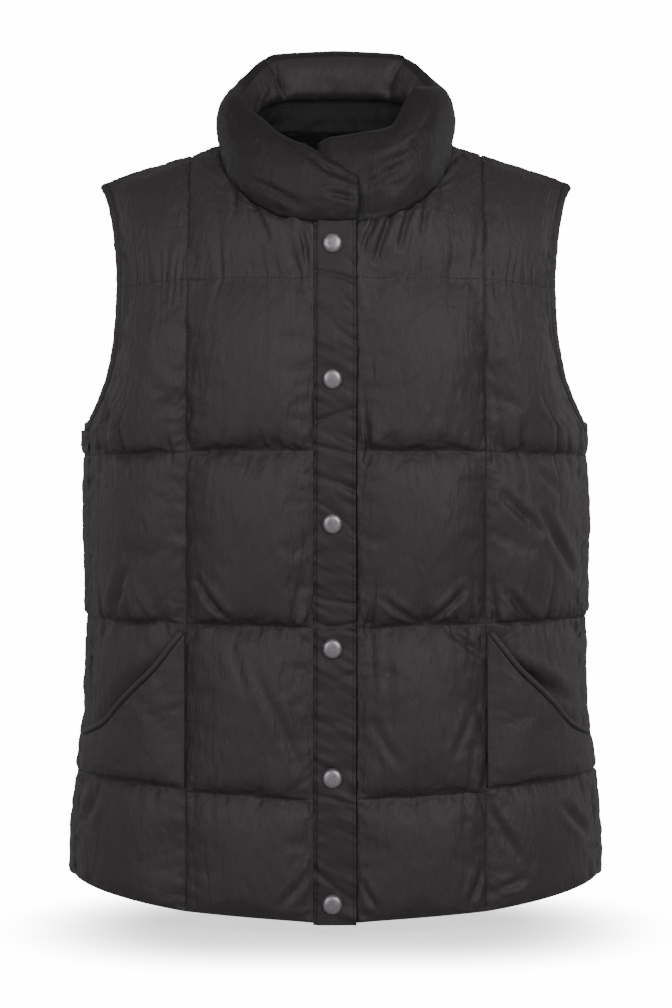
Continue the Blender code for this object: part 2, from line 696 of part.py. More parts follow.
def collar_stations(feet):
    """Sections of the collar, from its under end at the front, round the back, to its lapping end."""
    start = -math.asin(0.0140 / RIM_HALF_WIDTH)
    end = 2 * math.pi + math.asin(PLACKET_FREE_X / RIM_HALF_WIDTH)
    stations = []
    for station in range(COLLAR_STATIONS + 1):
        share = station / COLLAR_STATIONS
        angle = mix(start, end, share)
        near_start = max(0.0, 1 - (angle - start) / math.radians(34))
        near_end = max(0.0, 1 - (end - angle) / math.radians(34))
        corner = max(0.0, 1 - (end - angle) / math.radians(27))
        lap = COLLAR_LAP * (near_end ** 0.5 - near_start ** 0.5)
        foot_in, foot_out = collar_base(feet, angle)
        rim = collar_rim(angle, corner)
        outward = Vector((math.sin(angle), -math.cos(angle), 0))
        padded = COLLAR_PADDING * (1 - max(near_start, near_end) ** 2)
        bulge = mix(COLLAR_BULGE["front"], COLLAR_BULGE["side"], abs(math.sin(angle)))
        outside, inside = [foot_out], [foot_in]
        for level in COLLAR_SECTION:
            wall = COLLAR_END_WALL + padded * math.sin(math.pi * mix(0.04, 0.80, level)) ** 0.7
            rounding = 1 - math.sqrt(max(0.0, 1 - max(0.0, (level - 0.70) / 0.31) ** 2))
            bow = bulge * math.sin(math.pi * level) + lap - wall * 0.5 * rounding
            half_rim = COLLAR_END_WALL / 2 + padded * 0.36
            top = rim + outward * half_rim
            out = mix(foot_out, top, level ** 1.4) + outward * bow
            out.z = mix(foot_out.z, top.z, level)
            outside.append(out)
            inside.append(out - outward * wall * (1 - 0.92 * rounding))
        stations.append(outside + inside[::-1])
    return stations


def clear_scene():
    """Removes everything that a new file starts with."""
    for item in list(bpy.data.objects):
        bpy.data.objects.remove(item, do_unlink=True)


def build_vest():
    """Builds every piece of the vest."""
    clear_scene()
    collection = bpy.data.collections.new("puffer_vest")
    bpy.context.scene.collection.children.link(collection)
    shell = finish_material("quilted_shell", (0.042, 0.037, 0.038), 0.46)
    trim = finish_material("trim_cloth", (0.036, 0.032, 0.033), 0.50)
    metal = finish_material("snap_metal", (0.20, 0.18, 0.20), 0.38, 0.85)

    fronts = {}
    back = quilted_panel("back", True)
    for side in ("right", "left"):
        fronts[side] = quilted_panel(f"front_{side}", False, side)
    for side, panel in fronts.items():
        flip = mirrored_grid if side == "right" else list
        name = f"front_{side}"
        data = wall_mesh(name, flip(panel["inner"]), flip(panel["outer"]))
        add_part(name, data, shell, collection)
        name = f"pocket_{side}"
        low, high = pocket_grids(panel, side)
        add_part(name, wall_mesh(name, flip(low), flip(high)), shell, collection)
        name = f"pocket_welt_{side}"
        strip = edge_strip(low[-1], high[-1], ARMHOLE_CENTRE, WELT_WIDTH, 0.8)
        name_binding = f"armhole_binding_{side}"
        around = armhole_stations(panel, back)
        if side == "right":
            strip = [[Vector((-p.x, p.y, p.z)) for p in station] for station in strip]
            around = [[Vector((-p.x, p.y, p.z)) for p in station] for station in around]
        add_part(name, ring_mesh(name, strip, closed=False), trim, collection)
        add_part(name_binding, ring_mesh(name_binding, around, closed=True), trim, collection)
    data = wall_mesh("back", back["inner"], back["outer"], open_centre=True)
    add_part("back", data, shell, collection)

    under_wall = SHELL_CLOTH
    low, high = placket_grids(UNDER_PLACKET_X, PLACKET_FREE_X, 0.0, under_wall, 0.0)
    add_part("under_placket", wall_mesh("under_placket", low, high), trim, collection)
    stitched_x = PLACKET_STITCH_X + SEAM_GAP
    base = under_wall + SEAM_GAP
    low, high = placket_grids(stitched_x, PLACKET_FREE_X, base, PLACKET_WALL, PLACKET_DROP)
    add_part("placket", wall_mesh("placket", low, high), trim, collection)
    for number, height in enumerate(SNAP_HEIGHTS, 1):
        snap_object(f"snap_{number}", height, metal, collection)
    stations = collar_stations(collar_feet(neck_edge(fronts, back)))
    add_part("collar", ring_mesh("collar", stations, closed=False), shell, collection)


build_vest()
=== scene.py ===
"""Looks of the quilted puffer vest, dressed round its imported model.

Metres, +Z up, front towards -Y, +X at the viewer's right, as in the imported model. Every padded piece
starts from the vest's worn form, is relaxed as cloth that is pinned along its stitching, and is then
closed over its lining.
"""

from __future__ import annotations

import logging
import math
from dataclasses import dataclass, field
from enum import Enum
from typing import Callable, Iterable, Sequence, TypeVar

import bmesh
import bpy
from mathutils import Matrix, Vector, noise

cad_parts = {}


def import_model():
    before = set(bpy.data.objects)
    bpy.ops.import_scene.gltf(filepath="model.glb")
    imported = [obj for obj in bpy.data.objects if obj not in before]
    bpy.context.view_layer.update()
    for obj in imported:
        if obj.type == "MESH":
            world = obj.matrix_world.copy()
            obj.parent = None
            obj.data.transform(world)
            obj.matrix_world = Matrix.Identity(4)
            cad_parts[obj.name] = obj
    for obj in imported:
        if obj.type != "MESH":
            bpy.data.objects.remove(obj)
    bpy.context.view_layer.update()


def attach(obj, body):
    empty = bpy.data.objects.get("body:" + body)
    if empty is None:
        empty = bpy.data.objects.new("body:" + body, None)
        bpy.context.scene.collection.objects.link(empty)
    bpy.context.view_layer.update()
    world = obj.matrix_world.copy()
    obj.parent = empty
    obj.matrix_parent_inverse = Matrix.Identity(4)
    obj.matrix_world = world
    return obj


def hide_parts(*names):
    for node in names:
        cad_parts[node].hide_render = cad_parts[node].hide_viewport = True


LOG = logging.getLogger("vest")
TINY = 1e-6
Blend = TypeVar("Blend", float, Vector)
Grid = list[list[Vector]]
Rows = tuple[tuple[float, ...], ...]
Inputs = dict[str | int, float | tuple[float, ...]]


class Side(Enum):
    """The wearer's side, with the sign of its X."""

    RIGHT = -1
    LEFT = 1

    @property
    def word(self) -> str:
        """The side's name as it stands in the names of the pieces."""
        return self.name.lower()


def mix(start: Blend, end: Blend, share: float) -> Blend:
    """The value or point at a share of the way from start to end."""
    return start + (end - start) * share


def clamp(value: float, low: float = 0.0, high: float = 1.0) -> float:
    """The value kept between low and high."""
    return max(low, min(high, value))


def smooth_step(low: float, high: float, value: float) -> float:
    """A smooth rise from 0 at low to 1 at high."""
    share = clamp((value - low) / (high - low))
    return share * share * (3 - 2 * share)


def ripple(*place: float) -> float:
    """Fixed smooth noise between about -1 and 1 at a place."""
    return noise.noise(Vector((*place, 0.0, 0.0)[:3]))


def cell_profile(share: float) -> float:
    """How full a quilted cell is, from 0 on its stitching to 1 in the middle."""
    return 1 - abs(2 * share - 1) ** 4.6


def sagged(share: float) -> float:
    """A share of the way up a cell, drawn so that the padding is fullest low down."""
    return clamp(share) ** 0.60


def crowded(share: float, pull: float = 0.075) -> float:
    """A share of the way along a cell, with even steps drawn closer together beside its stitching."""
    return share - pull * math.sin(2 * math.pi * share)


def crinkle(along: float, up: float, seed: float) -> float:
    """Upright crinkles of thin nylon, between about -1 and 1."""
    along += 0.007 * ripple(along * 24.0, up * 21.0, seed + 5.9)
    broad = ripple(along * 55.0, up * 15.0, seed)
    fine = abs(ripple(along * 165.0, up * 44.0, seed + 3.1))
    return 0.8 * broad + 1.5 * (0.22 - fine)


def fading(away: float, reach: float) -> float:
    """What is left of an effect at a distance from its stitching: 1 on it, a third at its reach."""
    return math.exp(-away / reach)


def groove(away: float, reach: float) -> float:
    """A rounded groove or ridge: 1 in its middle and 0 well past its reach on both sides."""
    return math.exp(-((away / reach) ** 2))


def long_crease(along: float, seed: float, width: float = 0.075) -> float:
    """Sharp creases that stand well apart along a seam, from 0 beside them to 1 in them."""
    return math.exp(-((ripple(along * 36.0, seed, 2.6) / width) ** 2))


def pucker_wave(along: float, seed: float) -> float:
    """Uneven gathers along a seam: rounded crests about 1 high between sharp creases."""
    coarse = abs(ripple(along * 92.0, seed, 0.3))
    fine = abs(ripple(along * 185.0, seed + 4.7, 1.1))
    return 2.3 * coarse + 1.0 * fine - 0.75


@dataclass(frozen=True)
class Gather:
    """Waves or creases of cloth beside its stitching: their height, how far they reach, and their seed."""

    height: float
    reach: float
    seed: float

    def waves(self, along: float, away: float, seed: float = 0.0) -> float:
        """How far the waves lift the cloth at a distance along the stitching and away from it."""
        return self.height * fading(away, self.reach) * pucker_wave(along, self.seed + seed)

    def creases(self, along: float, away: float, seed: float = 0.0) -> float:
        """How far the creases sink the cloth, as a move below 0."""
        return -self.height * fading(away, self.reach) * long_crease(along, self.seed + seed)


@dataclass(frozen=True)
class ShapeTable:
    """Rows of measurements read smoothly between each other; the first column is the key."""

    rows: Rows

    def _slope(self, row: int, column: int) -> float:
        """The slope of a column at one of the rows, never past the rows beside it."""
        rises = []
        for low, high in ((row - 1, row), (row, row + 1)):
            if low >= 0 and high < len(self.rows):
                span = self.rows[high][0] - self.rows[low][0]
                rises.append((self.rows[high][column] - self.rows[low][column]) / span)
        if len(rises) == 1:
            return rises[0]
        if rises[0] * rises[1] <= 0:
            return 0.0
        return 2 * rises[0] * rises[1] / (rises[0] + rises[1])

    def read(self, key: float, column: int = 1) -> float:
        """The column's value at a key.

        Args:
            key: Where to read, in the unit of the first column.
            column: Which column to read.

        Returns:
            The value on a smooth curve through the rows.
        """
        rows = self.rows
        if key <= rows[0][0]:
            return rows[0][column]
        if key >= rows[-1][0]:
            return rows[-1][column]
        row = max(k for k in range(len(rows) - 1) if rows[k][0] <= key)
        low, high = rows[row], rows[row + 1]
        span = high[0] - low[0]
        t = (key - low[0]) / span
        start, end = self._slope(row, column) * span, self._slope(row + 1, column) * span
        return (
            (2 * t**3 - 3 * t**2 + 1) * low[column] + (t**3 - 2 * t**2 + t) * start
            + (3 * t**2 - 2 * t**3) * high[column] + (t**3 - t**2) * end
        )


@dataclass(frozen=True)
class Place:
    """A place on the worn form: an angle round it, and a height or an angle over the shoulder."""

    angle: float
    height: float | None = None
    dome: float = 0.0


@dataclass(frozen=True)
class WornForm:
    """The inner surface of the vest as it is filled out when worn."""

    squareness: float = 2.3
    dome_base: float = -0.200
    neck_half_width: float = 0.088
    shoulder_slope: float = 0.305
    ridge_drop: float = 0.0058
    neck_rise: float = 0.0583
    ridge_blend: float = 0.003
    levels: ShapeTable = ShapeTable((
        # height, half width, front depth, back depth
        (-0.610, 0.2105, 0.1120, 0.1110),
        (-0.508, 0.2035, 0.1085, 0.1080),
        (-0.450, 0.1960, 0.1055, 0.1025),
        (-0.380, 0.1950, 0.1030, 0.0970),
        (-0.300, 0.1965, 0.1045, 0.1000),
        (-0.200, 0.1990, 0.1030, 0.1060),
    ))

    def ridge(self, x: float) -> float:
        """The top of the shoulder over a distance from the centre."""
        slope = (self.neck_half_width - abs(x)) * self.shoulder_slope
        rise = self.neck_rise * (1 - (x / self.neck_half_width) ** 2)
        return (slope + rise + math.hypot(slope - rise, self.ridge_blend)) / 2 - self.ridge_drop

    def section(self, height: float) -> tuple[float, float, float]:
        """Half width, front depth and back depth at a height."""
        return tuple(self.levels.read(height, column) for column in (1, 2, 3))

    def angle_at(self, x: float, height: float) -> float:
        """The angle from the front at a distance from the centre."""
        return math.asin(min(1.0, (abs(x) / self.section(height)[0]) ** (self.squareness / 2)))

    def dome_angle(self, x: float, height: float) -> float:
        """How far over the shoulder a height lies: a right angle on the ridge."""
        return math.asin(clamp((height - self.dome_base) / (self.ridge(x) - self.dome_base)))

    def point(self, place: Place) -> Vector:
        """The point of the form at a place."""
        over = place.height is None
        half_width, front, back = self.section(self.dome_base if over else place.height)
        x = half_width * abs(math.sin(place.angle)) ** (2 / self.squareness)
        fullness = abs(math.cos(place.angle)) ** (2 / self.squareness)
        behind = math.cos(place.angle) < 0
        if over:
            height = mix(self.dome_base, self.ridge(x), math.sin(place.dome))
            depth = back if behind != (math.cos(place.dome) < 0) else front
            y = depth * fullness * math.cos(place.dome)
        else:
            height = place.height
            y = (back if behind else front) * fullness * math.cos(self.dome_angle(x, height))
        return Vector((x, y if behind else -y, height))

    def normal(self, place: Place) -> Vector:
        """The outward direction of the form at a place."""
        step = 1e-4

        def beside(turn: float, rise: float) -> Vector:
            """The point a little further round, and a little higher or further over the shoulder."""
            if place.height is None:
                return self.point(Place(place.angle + turn, None, place.dome + rise))
            return self.point(Place(place.angle + turn, place.height + rise))

        if abs(math.sin(place.angle)) < 2 * step:
            across = Vector((1.0 if math.cos(place.angle) > 0 else -1.0, 0, 0))
        else:
            across = beside(step, 0.0) - beside(-step, 0.0)
        up = beside(0.0, step) - beside(0.0, -step)
        return across.cross(up).normalized()


@dataclass(frozen=True)
class PanelCut:
    """How a front or the back is cut: each place by bands up from the hem and cells out from the centre.

    Up runs from 0 at the hem through each row of quilting to 4 at the yoke and 5 at the shoulder.
    Across runs from 0 at the centre through 1 at the vertical quilting to 2 at the side.
    """

    form: WornForm
    back: bool
    start_x: float
    rows: Rows
    seam_gap: float = -0.0012
    quilt_x: float = 0.114
    seam_angle: float = math.radians(76)
    shoulder_angle: float = math.radians(80)
    front_neck_height: float = -0.0725
    back_neck_height: float = 0.012
    underarm: float = 0.17
    edge_bend: float = 0.6
    hem_bend: float = 1.0
    shoulder_edge: float = 63.5
    armhole: ShapeTable = ShapeTable((
        # share of the band, front angle, front height, back angle, back height
        (0.17, 76.0, -0.2300, 76.0, -0.2300),
        (0.22, 73.0, -0.2265, 84.0, -0.2312),
        (0.28, 69.6, -0.2215, 93.0, -0.2316),
        (0.35, 65.6, -0.2140, 101.5, -0.2285),
        (0.44, 61.8, -0.2040, 110.0, -0.2200),
        (0.55, 58.2, -0.1900, 116.5, -0.2060),
        (0.72, 55.2, -0.1670, 121.5, -0.1780),
        (0.88, 53.8, -0.1430, 123.5, -0.1475),
        (1.00, 53.3, -0.1200, 123.0, -0.1200),
    ))

    @property
    def neck_level(self) -> float:
        """The share of the yoke at which the neck edge starts."""
        return 0.62 if self.back else 0.34

    def _turned(self, angle: float) -> float:
        """An angle measured from the front, or the same one measured from the back."""
        return math.pi - angle if self.back else angle

    def place(self, across: float, up: float) -> Place:
        """Where a place of the panel lies on the form.

        Args:
            across: Cells out from the centre, 0 to 2.
            up: Bands up from the hem, 0 to 5.

        Returns:
            The place on the worn form.
        """
        band = min(int(up + 1e-9), 4)
        share = clamp(up - band)
        return self._yoke(across, share) if band == 4 else self._body(across, band, share)

    def _body(self, across: float, band: int, share: float) -> Place:
        """A place under the yoke."""
        centre, quilt, edge = (mix(self.rows[band][k], self.rows[band + 1][k], share) for k in range(3))
        if across <= 1:
            height = mix(centre, quilt, across)
            angle = self.form.angle_at(mix(self.start_x, self.quilt_x, across), height)
            return Place(self._turned(angle), height)
        gap = self.seam_gap / 2 / self.form.section(edge)[1]
        edge_angle = self.seam_angle + (gap if self.back else -gap)
        if band == 3 and share > self.underarm:
            columns = (3, 4) if self.back else (1, 2)
            degrees, edge = (self.armhole.read(share, column) for column in columns)
            edge_angle = math.radians(degrees)
        elif band == 3:
            edge = mix(self.rows[3][2], self.armhole.rows[0][2], share / self.underarm)
        quilt_angle = self._turned(self.form.angle_at(self.quilt_x, quilt))
        part = across - 1
        bend = mix(self.hem_bend, self.edge_bend, clamp(band + share))
        return Place(mix(quilt_angle, edge_angle, part), mix(quilt, edge, part**bend))

    def _neck(self, share: float) -> tuple[float, float]:
        """Distance from the centre and angle over the dome at a share of the way up the neck edge."""
        turn = clamp(share) * math.pi / 2
        form = self.form
        x = mix(self.start_x, form.neck_half_width, math.sin(turn))
        if self.back:
            top = math.pi - self.shoulder_angle
            low = form.dome_angle(0.0, self.back_neck_height)
            return x, mix(low, top, 1 - math.cos(turn))
        top = mix(form.dome_base, form.ridge(form.neck_half_width), math.sin(self.shoulder_angle))
        return x, form.dome_angle(x, mix(top, self.front_neck_height, math.cos(turn)))

    def _yoke(self, across: float, share: float) -> Place:
        """A place between the yoke row and the shoulder seam."""
        form = self.form
        centre, quilt, edge = self.rows[-1]
        gap = self.seam_gap / 2 / form.section(form.dome_base)[1]
        top = (math.pi - self.shoulder_angle if self.back else self.shoulder_angle) - gap
        neck_height = self.back_neck_height if self.back else self.front_neck_height
        if share <= self.neck_level:
            x0 = self.start_x
            dome0 = form.dome_angle(x0, mix(centre, neck_height, share / self.neck_level))
        else:
            x0, dome0 = self._neck((share - self.neck_level) / (1 - self.neck_level))
            dome0 = min(dome0, top)
        dome1 = mix(form.dome_angle(self.quilt_x, quilt), top, share)
        if across <= 1:
            angle = form.angle_at(mix(x0, self.quilt_x, across), form.dome_base)
            row_x, row_height = mix(self.start_x, self.quilt_x, across), mix(centre, quilt, across)
            ends = form.dome_angle(self.start_x, centre), form.dome_angle(self.quilt_x, quilt)
            straight = form.dome_angle(row_x, row_height) - mix(*ends, across)
            return Place(self._turned(angle), None, mix(dome0, dome1, across) + straight * (1 - share) ** 2)
        first = 57.0 if self.back else 53.3
        edge_angle = math.radians(mix(first, self.shoulder_edge, share**1.5))
        edge_x = form.section(form.dome_base)[0] * math.sin(edge_angle) ** (2 / form.squareness)
        dome2 = mix(form.dome_angle(edge_x, edge), top, share)
        angle = mix(form.angle_at(self.quilt_x, form.dome_base), edge_angle, across - 1)
        return Place(self._turned(angle), None, mix(dome1, dome2, across - 1))


@dataclass(frozen=True)
class Crease:
    """A fold pressed into a panel after it is relaxed, from one point to another as seen from its front."""

    start: tuple[float, float]
    end: tuple[float, float]
    width: float
    depth: float

    def press(self, point: Vector) -> float:
        """How far the crease moves a point: in at its line, and out a little beside it."""
        along = Vector(self.end) - Vector(self.start)
        away = Vector((point.x, point.z)) - Vector(self.start)
        share = clamp(away.dot(along) / along.length_squared)
        wander = 0.35 * ripple(share * 3.1, self.start[0] * 37, self.start[1] * 31)
        side = along.cross(away) / along.length / self.width + wander
        beyond = (away - along * share).length / self.width
        gap = math.hypot(side, max(0.0, beyond * beyond - side * side) ** 0.5)
        run = math.sin(math.pi * mix(0.12, 0.88, share))
        return self.depth * run * (0.45 * math.exp(-((gap - 1.25) ** 2) * 2.2) - math.exp(-gap * gap * 2.4))


def creases_at(rows: Rows) -> tuple[Crease, ...]:
    """The creases of a table in millimetres: x and height of the start, of the end, width, depth."""
    metres = (tuple(value / 1000 for value in row) for row in rows)
    return tuple(Crease((x0, z0), (x1, z1), width, depth) for x0, z0, x1, z1, width, depth in metres)


@dataclass
class ClothSheet:
    """A sheet of shell cloth as a grid of points, pinned along its stitching, with slack to spare."""

    name: str
    points: Grid
    pinned: Callable[[int, int], float]
    slack: Callable[[int, int], float]
    reach: float = 0.010
    rise: float = 1.0
    relaxed: Grid = field(default_factory=list)

    def mesh_object(self, flipped: bool) -> bpy.types.Object:
        """The sheet as an object with groups for its stitching and its slack.

        Args:
            flipped: Whether the faces are turned, so that they look out of the vest.

        Returns:
            The object, linked to the scene.
        """
        mesh = grid_mesh(self.points)
        if flipped:
            bmesh.ops.reverse_faces(mesh, faces=mesh.faces[:])
        data = mesh_data(f"relax_{self.name}", mesh)
        sheet = placed(data.name, data)
        stitched = sheet.vertex_groups.new(name="stitched")
        loose = sheet.vertex_groups.new(name="loose")
        columns = len(self.points[0])
        for index in range(len(data.vertices)):
            level, column = divmod(index, columns)
            weight = self.pinned(level, column)
            if weight > 0:
                stitched.add([index], weight, "REPLACE")
            loose.add([index], self.slack(level, column), "REPLACE")
        return sheet


@dataclass(frozen=True)
class ClothBench:
    """Relaxes sheets of cloth together, filled from behind and pinned along their stitching."""

    frames: int = 20
    pressure: float = 7.0
    least_slack: float = -0.012
    most_slack: float = -0.070
    sag: float = 0.0

    def relax(self, sheets: Sequence[tuple[ClothSheet, bool]]) -> None:
        """Fills in the relaxed points of each sheet.

        Args:
            sheets: Each sheet, and whether its faces need turning to look outwards.
        """
        objects = [sheet.mesh_object(flipped) for sheet, flipped in sheets]
        for item in objects:
            self._add_cloth(item)
        scene = bpy.context.scene
        for frame in range(1, self.frames + 1):
            scene.frame_set(frame)
        view = bpy.context.evaluated_depsgraph_get()
        for (sheet, _), item in zip(sheets, objects):
            moved = item.evaluated_get(view).to_mesh()
            columns = len(sheet.points[0])
            rows = []
            for level, row in enumerate(sheet.points):
                line = []
                for column, start in enumerate(row):
                    step = moved.vertices[level * columns + column].co - start
                    step.z *= sheet.rise
                    if step.length > sheet.reach:
                        step *= mix(sheet.reach, step.length, 0.12) / step.length
                    line.append(start + step)
                rows.append(line)
            sheet.relaxed = rows
        for item in objects:
            data = item.data
            bpy.data.objects.remove(item, do_unlink=True)
            bpy.data.meshes.remove(data)
        scene.frame_set(1)

    def _add_cloth(self, item: bpy.types.Object) -> None:
        """Adds the cloth settings to one sheet."""
        cloth = item.modifiers.new("relax", "CLOTH")
        for name, value in {
            "quality": 5, "mass": 0.3, "tension_stiffness": 15.0, "compression_stiffness": 15.0,
            "shear_stiffness": 5.0, "bending_stiffness": 0.05, "use_pressure": True,
            "uniform_pressure_force": self.pressure, "vertex_group_mass": "stitched",
            "vertex_group_shrink": "loose", "shrink_min": self.least_slack, "shrink_max": self.most_slack,
        }.items():
            setattr(cloth.settings, name, value)
        cloth.settings.effector_weights.gravity = self.sag
        cloth.collision_settings.use_collision = False
        cloth.collision_settings.use_self_collision = False
        cloth.point_cache.frame_start = 1
        cloth.point_cache.frame_end = self.frames


def grid_mesh(points: Grid) -> bmesh.types.BMesh:
    """A mesh of faces through a grid of points, in the order of its rows."""
    mesh = bmesh.new()
    rows, columns = len(points), len(points[0])
    bmesh.ops.create_grid(mesh, x_segments=columns - 1, y_segments=rows - 1, size=0.5)
    ordered = sorted(mesh.verts, key=lambda v: (round((v.co.y + 0.5) * (rows - 1)), v.co.x))
    for index, vertex in enumerate(ordered):
        vertex.index = index
        level, column = divmod(index, columns)
        vertex.co = points[level][column]
    mesh.verts.sort()
    return mesh


def wall_between(outer: Grid, inner: Grid) -> bmesh.types.BMesh:
    """A closed wall between two grids, with its outer border marked as a seam.

    Args:
        outer: Points of the shell cloth.
        inner: Points of the lining, one for each of the outer ones.

    Returns:
        The wall; its lining faces have material 1.
    """
    mesh = grid_mesh(outer)
    for edge in mesh.edges:
        edge.seam = edge.is_boundary
    grown = bmesh.ops.extrude_face_region(mesh, geom=mesh.faces[:], use_keep_orig=True)
    for face in (item for item in grown["geom"] if isinstance(item, bmesh.types.BMFace)):
        face.material_index = 1
    places: dict[tuple[float, float, float], list[tuple[int, int]]] = {}
    for level, row in enumerate(outer):
        for column, point in enumerate(row):
            places.setdefault(tuple(point), []).append((level, column))
    for vertex in (item for item in grown["geom"] if isinstance(item, bmesh.types.BMVert)):
        level, column = places[tuple(vertex.co)].pop(0)
        vertex.co = inner[level][column]
    for edge in (item for item in grown["geom"] if isinstance(item, bmesh.types.BMEdge)):
        edge.seam = False
    bmesh.ops.recalc_face_normals(mesh, faces=mesh.faces[:])
    return mesh


def joined_halves(halves: Sequence[bmesh.types.BMesh], tolerance: float = TINY) -> bmesh.types.BMesh:
    """Two half walls welded into one at the centre.

    Args:
        halves: The walls, which are freed.
        tolerance: How far from the centre a point may lie and still be welded.

    Returns:
        The whole wall.
    """
    whole = bmesh.new()
    for half in halves:
        flat = [face for face in half.faces if all(abs(v.co.x) < tolerance for v in face.verts)]
        bmesh.ops.delete(half, geom=flat, context="FACES_ONLY")
        data = mesh_data("half", half)
        whole.from_mesh(data)
        bpy.data.meshes.remove(data)
    middle = [v for v in whole.verts if abs(v.co.x) < tolerance]
    bmesh.ops.remove_doubles(whole, verts=middle, dist=10 * tolerance)
    for edge in whole.edges:
        if all(abs(v.co.x) < tolerance for v in edge.verts):
            edge.seam = False
    bmesh.ops.recalc_face_normals(whole, faces=whole.faces[:])
    return whole


def rounded(mesh: bmesh.types.BMesh, rounding: float) -> bmesh.types.BMesh:
    """The wall with its marked border rounded off."""
    rim = [edge for edge in mesh.edges if edge.seam]
    bmesh.ops.bevel(
        mesh, geom=rim, offset=rounding, offset_type="OFFSET", segments=2, profile=0.5,
        affect="EDGES", material=-1, clamp_overlap=True,
    )
    return mesh


def tube_mesh(stations: Sequence[Sequence[Vector]], ring: bool) -> bmesh.types.BMesh:
    """A tube through loops of points, joined end to end or capped.

    Args:
        stations: The loops, each with the same number of points.
        ring: Whether the last loop joins the first.

    Returns:
        The tube, with its faces outwards.
    """
    rows = [list(station) + [station[0]] for station in stations]
    if ring:
        rows.append(rows[0])
    mesh = grid_mesh(rows)
    bmesh.ops.remove_doubles(mesh, verts=mesh.verts[:], dist=1e-7)
    if not ring:
        rims = [edge for edge in mesh.edges if edge.is_boundary]
        bmesh.ops.holes_fill(mesh, edges=rims, sides=0)
    bmesh.ops.recalc_face_normals(mesh, faces=mesh.faces[:])
    return mesh


def mesh_data(name: str, mesh: bmesh.types.BMesh) -> bpy.types.Mesh:
    """The mesh as Blender's data, once it is finished; it is freed."""
    data = bpy.data.meshes.new(name)
    mesh.to_mesh(data)
    mesh.free()
    return data


def placed(name: str, data: bpy.types.ID) -> bpy.types.Object:
    """An object of the data, linked to the scene."""
    item = bpy.data.objects.new(name, data)
    bpy.context.scene.collection.objects.link(item)
    return item


def publish(
    name: str, mesh: bmesh.types.BMesh, finishes: Sequence[bpy.types.Material], slot: str,
    nodes: Iterable[str] = (),
) -> bpy.types.Object:
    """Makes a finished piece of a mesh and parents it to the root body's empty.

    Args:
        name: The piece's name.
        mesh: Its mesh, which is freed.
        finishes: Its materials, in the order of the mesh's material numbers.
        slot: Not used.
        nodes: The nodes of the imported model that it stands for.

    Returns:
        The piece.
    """
    data = mesh_data(name, mesh)
    data.shade_smooth()
    for finish in finishes:
        data.materials.append(finish)
    piece = placed(name, data)
    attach(piece, "root")
    if nodes:
        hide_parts(*nodes)
    LOG.info("%s: %d faces", name, len(data.polygons))
    return piece


@dataclass(frozen=True)
class ShaderSheet:
    """A node tree that is wired by socket names."""

    tree: bpy.types.NodeTree

    @classmethod
    def of_material(cls, name: str) -> tuple[bpy.types.Material, "ShaderSheet", bpy.types.Node]:
        """A new material, its node tree and its shader."""
        material = bpy.data.materials.new(name)
        material.use_nodes = True
        return material, cls(material.node_tree), material.node_tree.nodes["Principled BSDF"]

    def add(
        self, kind: str, label: str, inputs: Inputs | None = None, **settings: object,
    ) -> bpy.types.Node:
        """Adds a node.

        Args:
            kind: Blender's type name for it.
            label: What it is for.
            inputs: Values for its inputs.
            **settings: Properties of the node.

        Returns:
            The node.
        """
        node = self.tree.nodes.new(kind)
        node.label = label
        for key, value in settings.items():
            setattr(node, key, value)
        self.give(node, inputs or {})
        return node

    def give(self, node: bpy.types.Node, inputs: Inputs) -> None:
        """Gives a node's inputs their values."""
        for socket, value in inputs.items():
            node.inputs[socket].default_value = value

    def link(
        self, source: bpy.types.Node, output: str | int, target: bpy.types.Node, socket: str | int,
    ) -> None:
        """Links an output of one node to an input of another."""
        self.tree.links.new(source.outputs[output], target.inputs[socket])


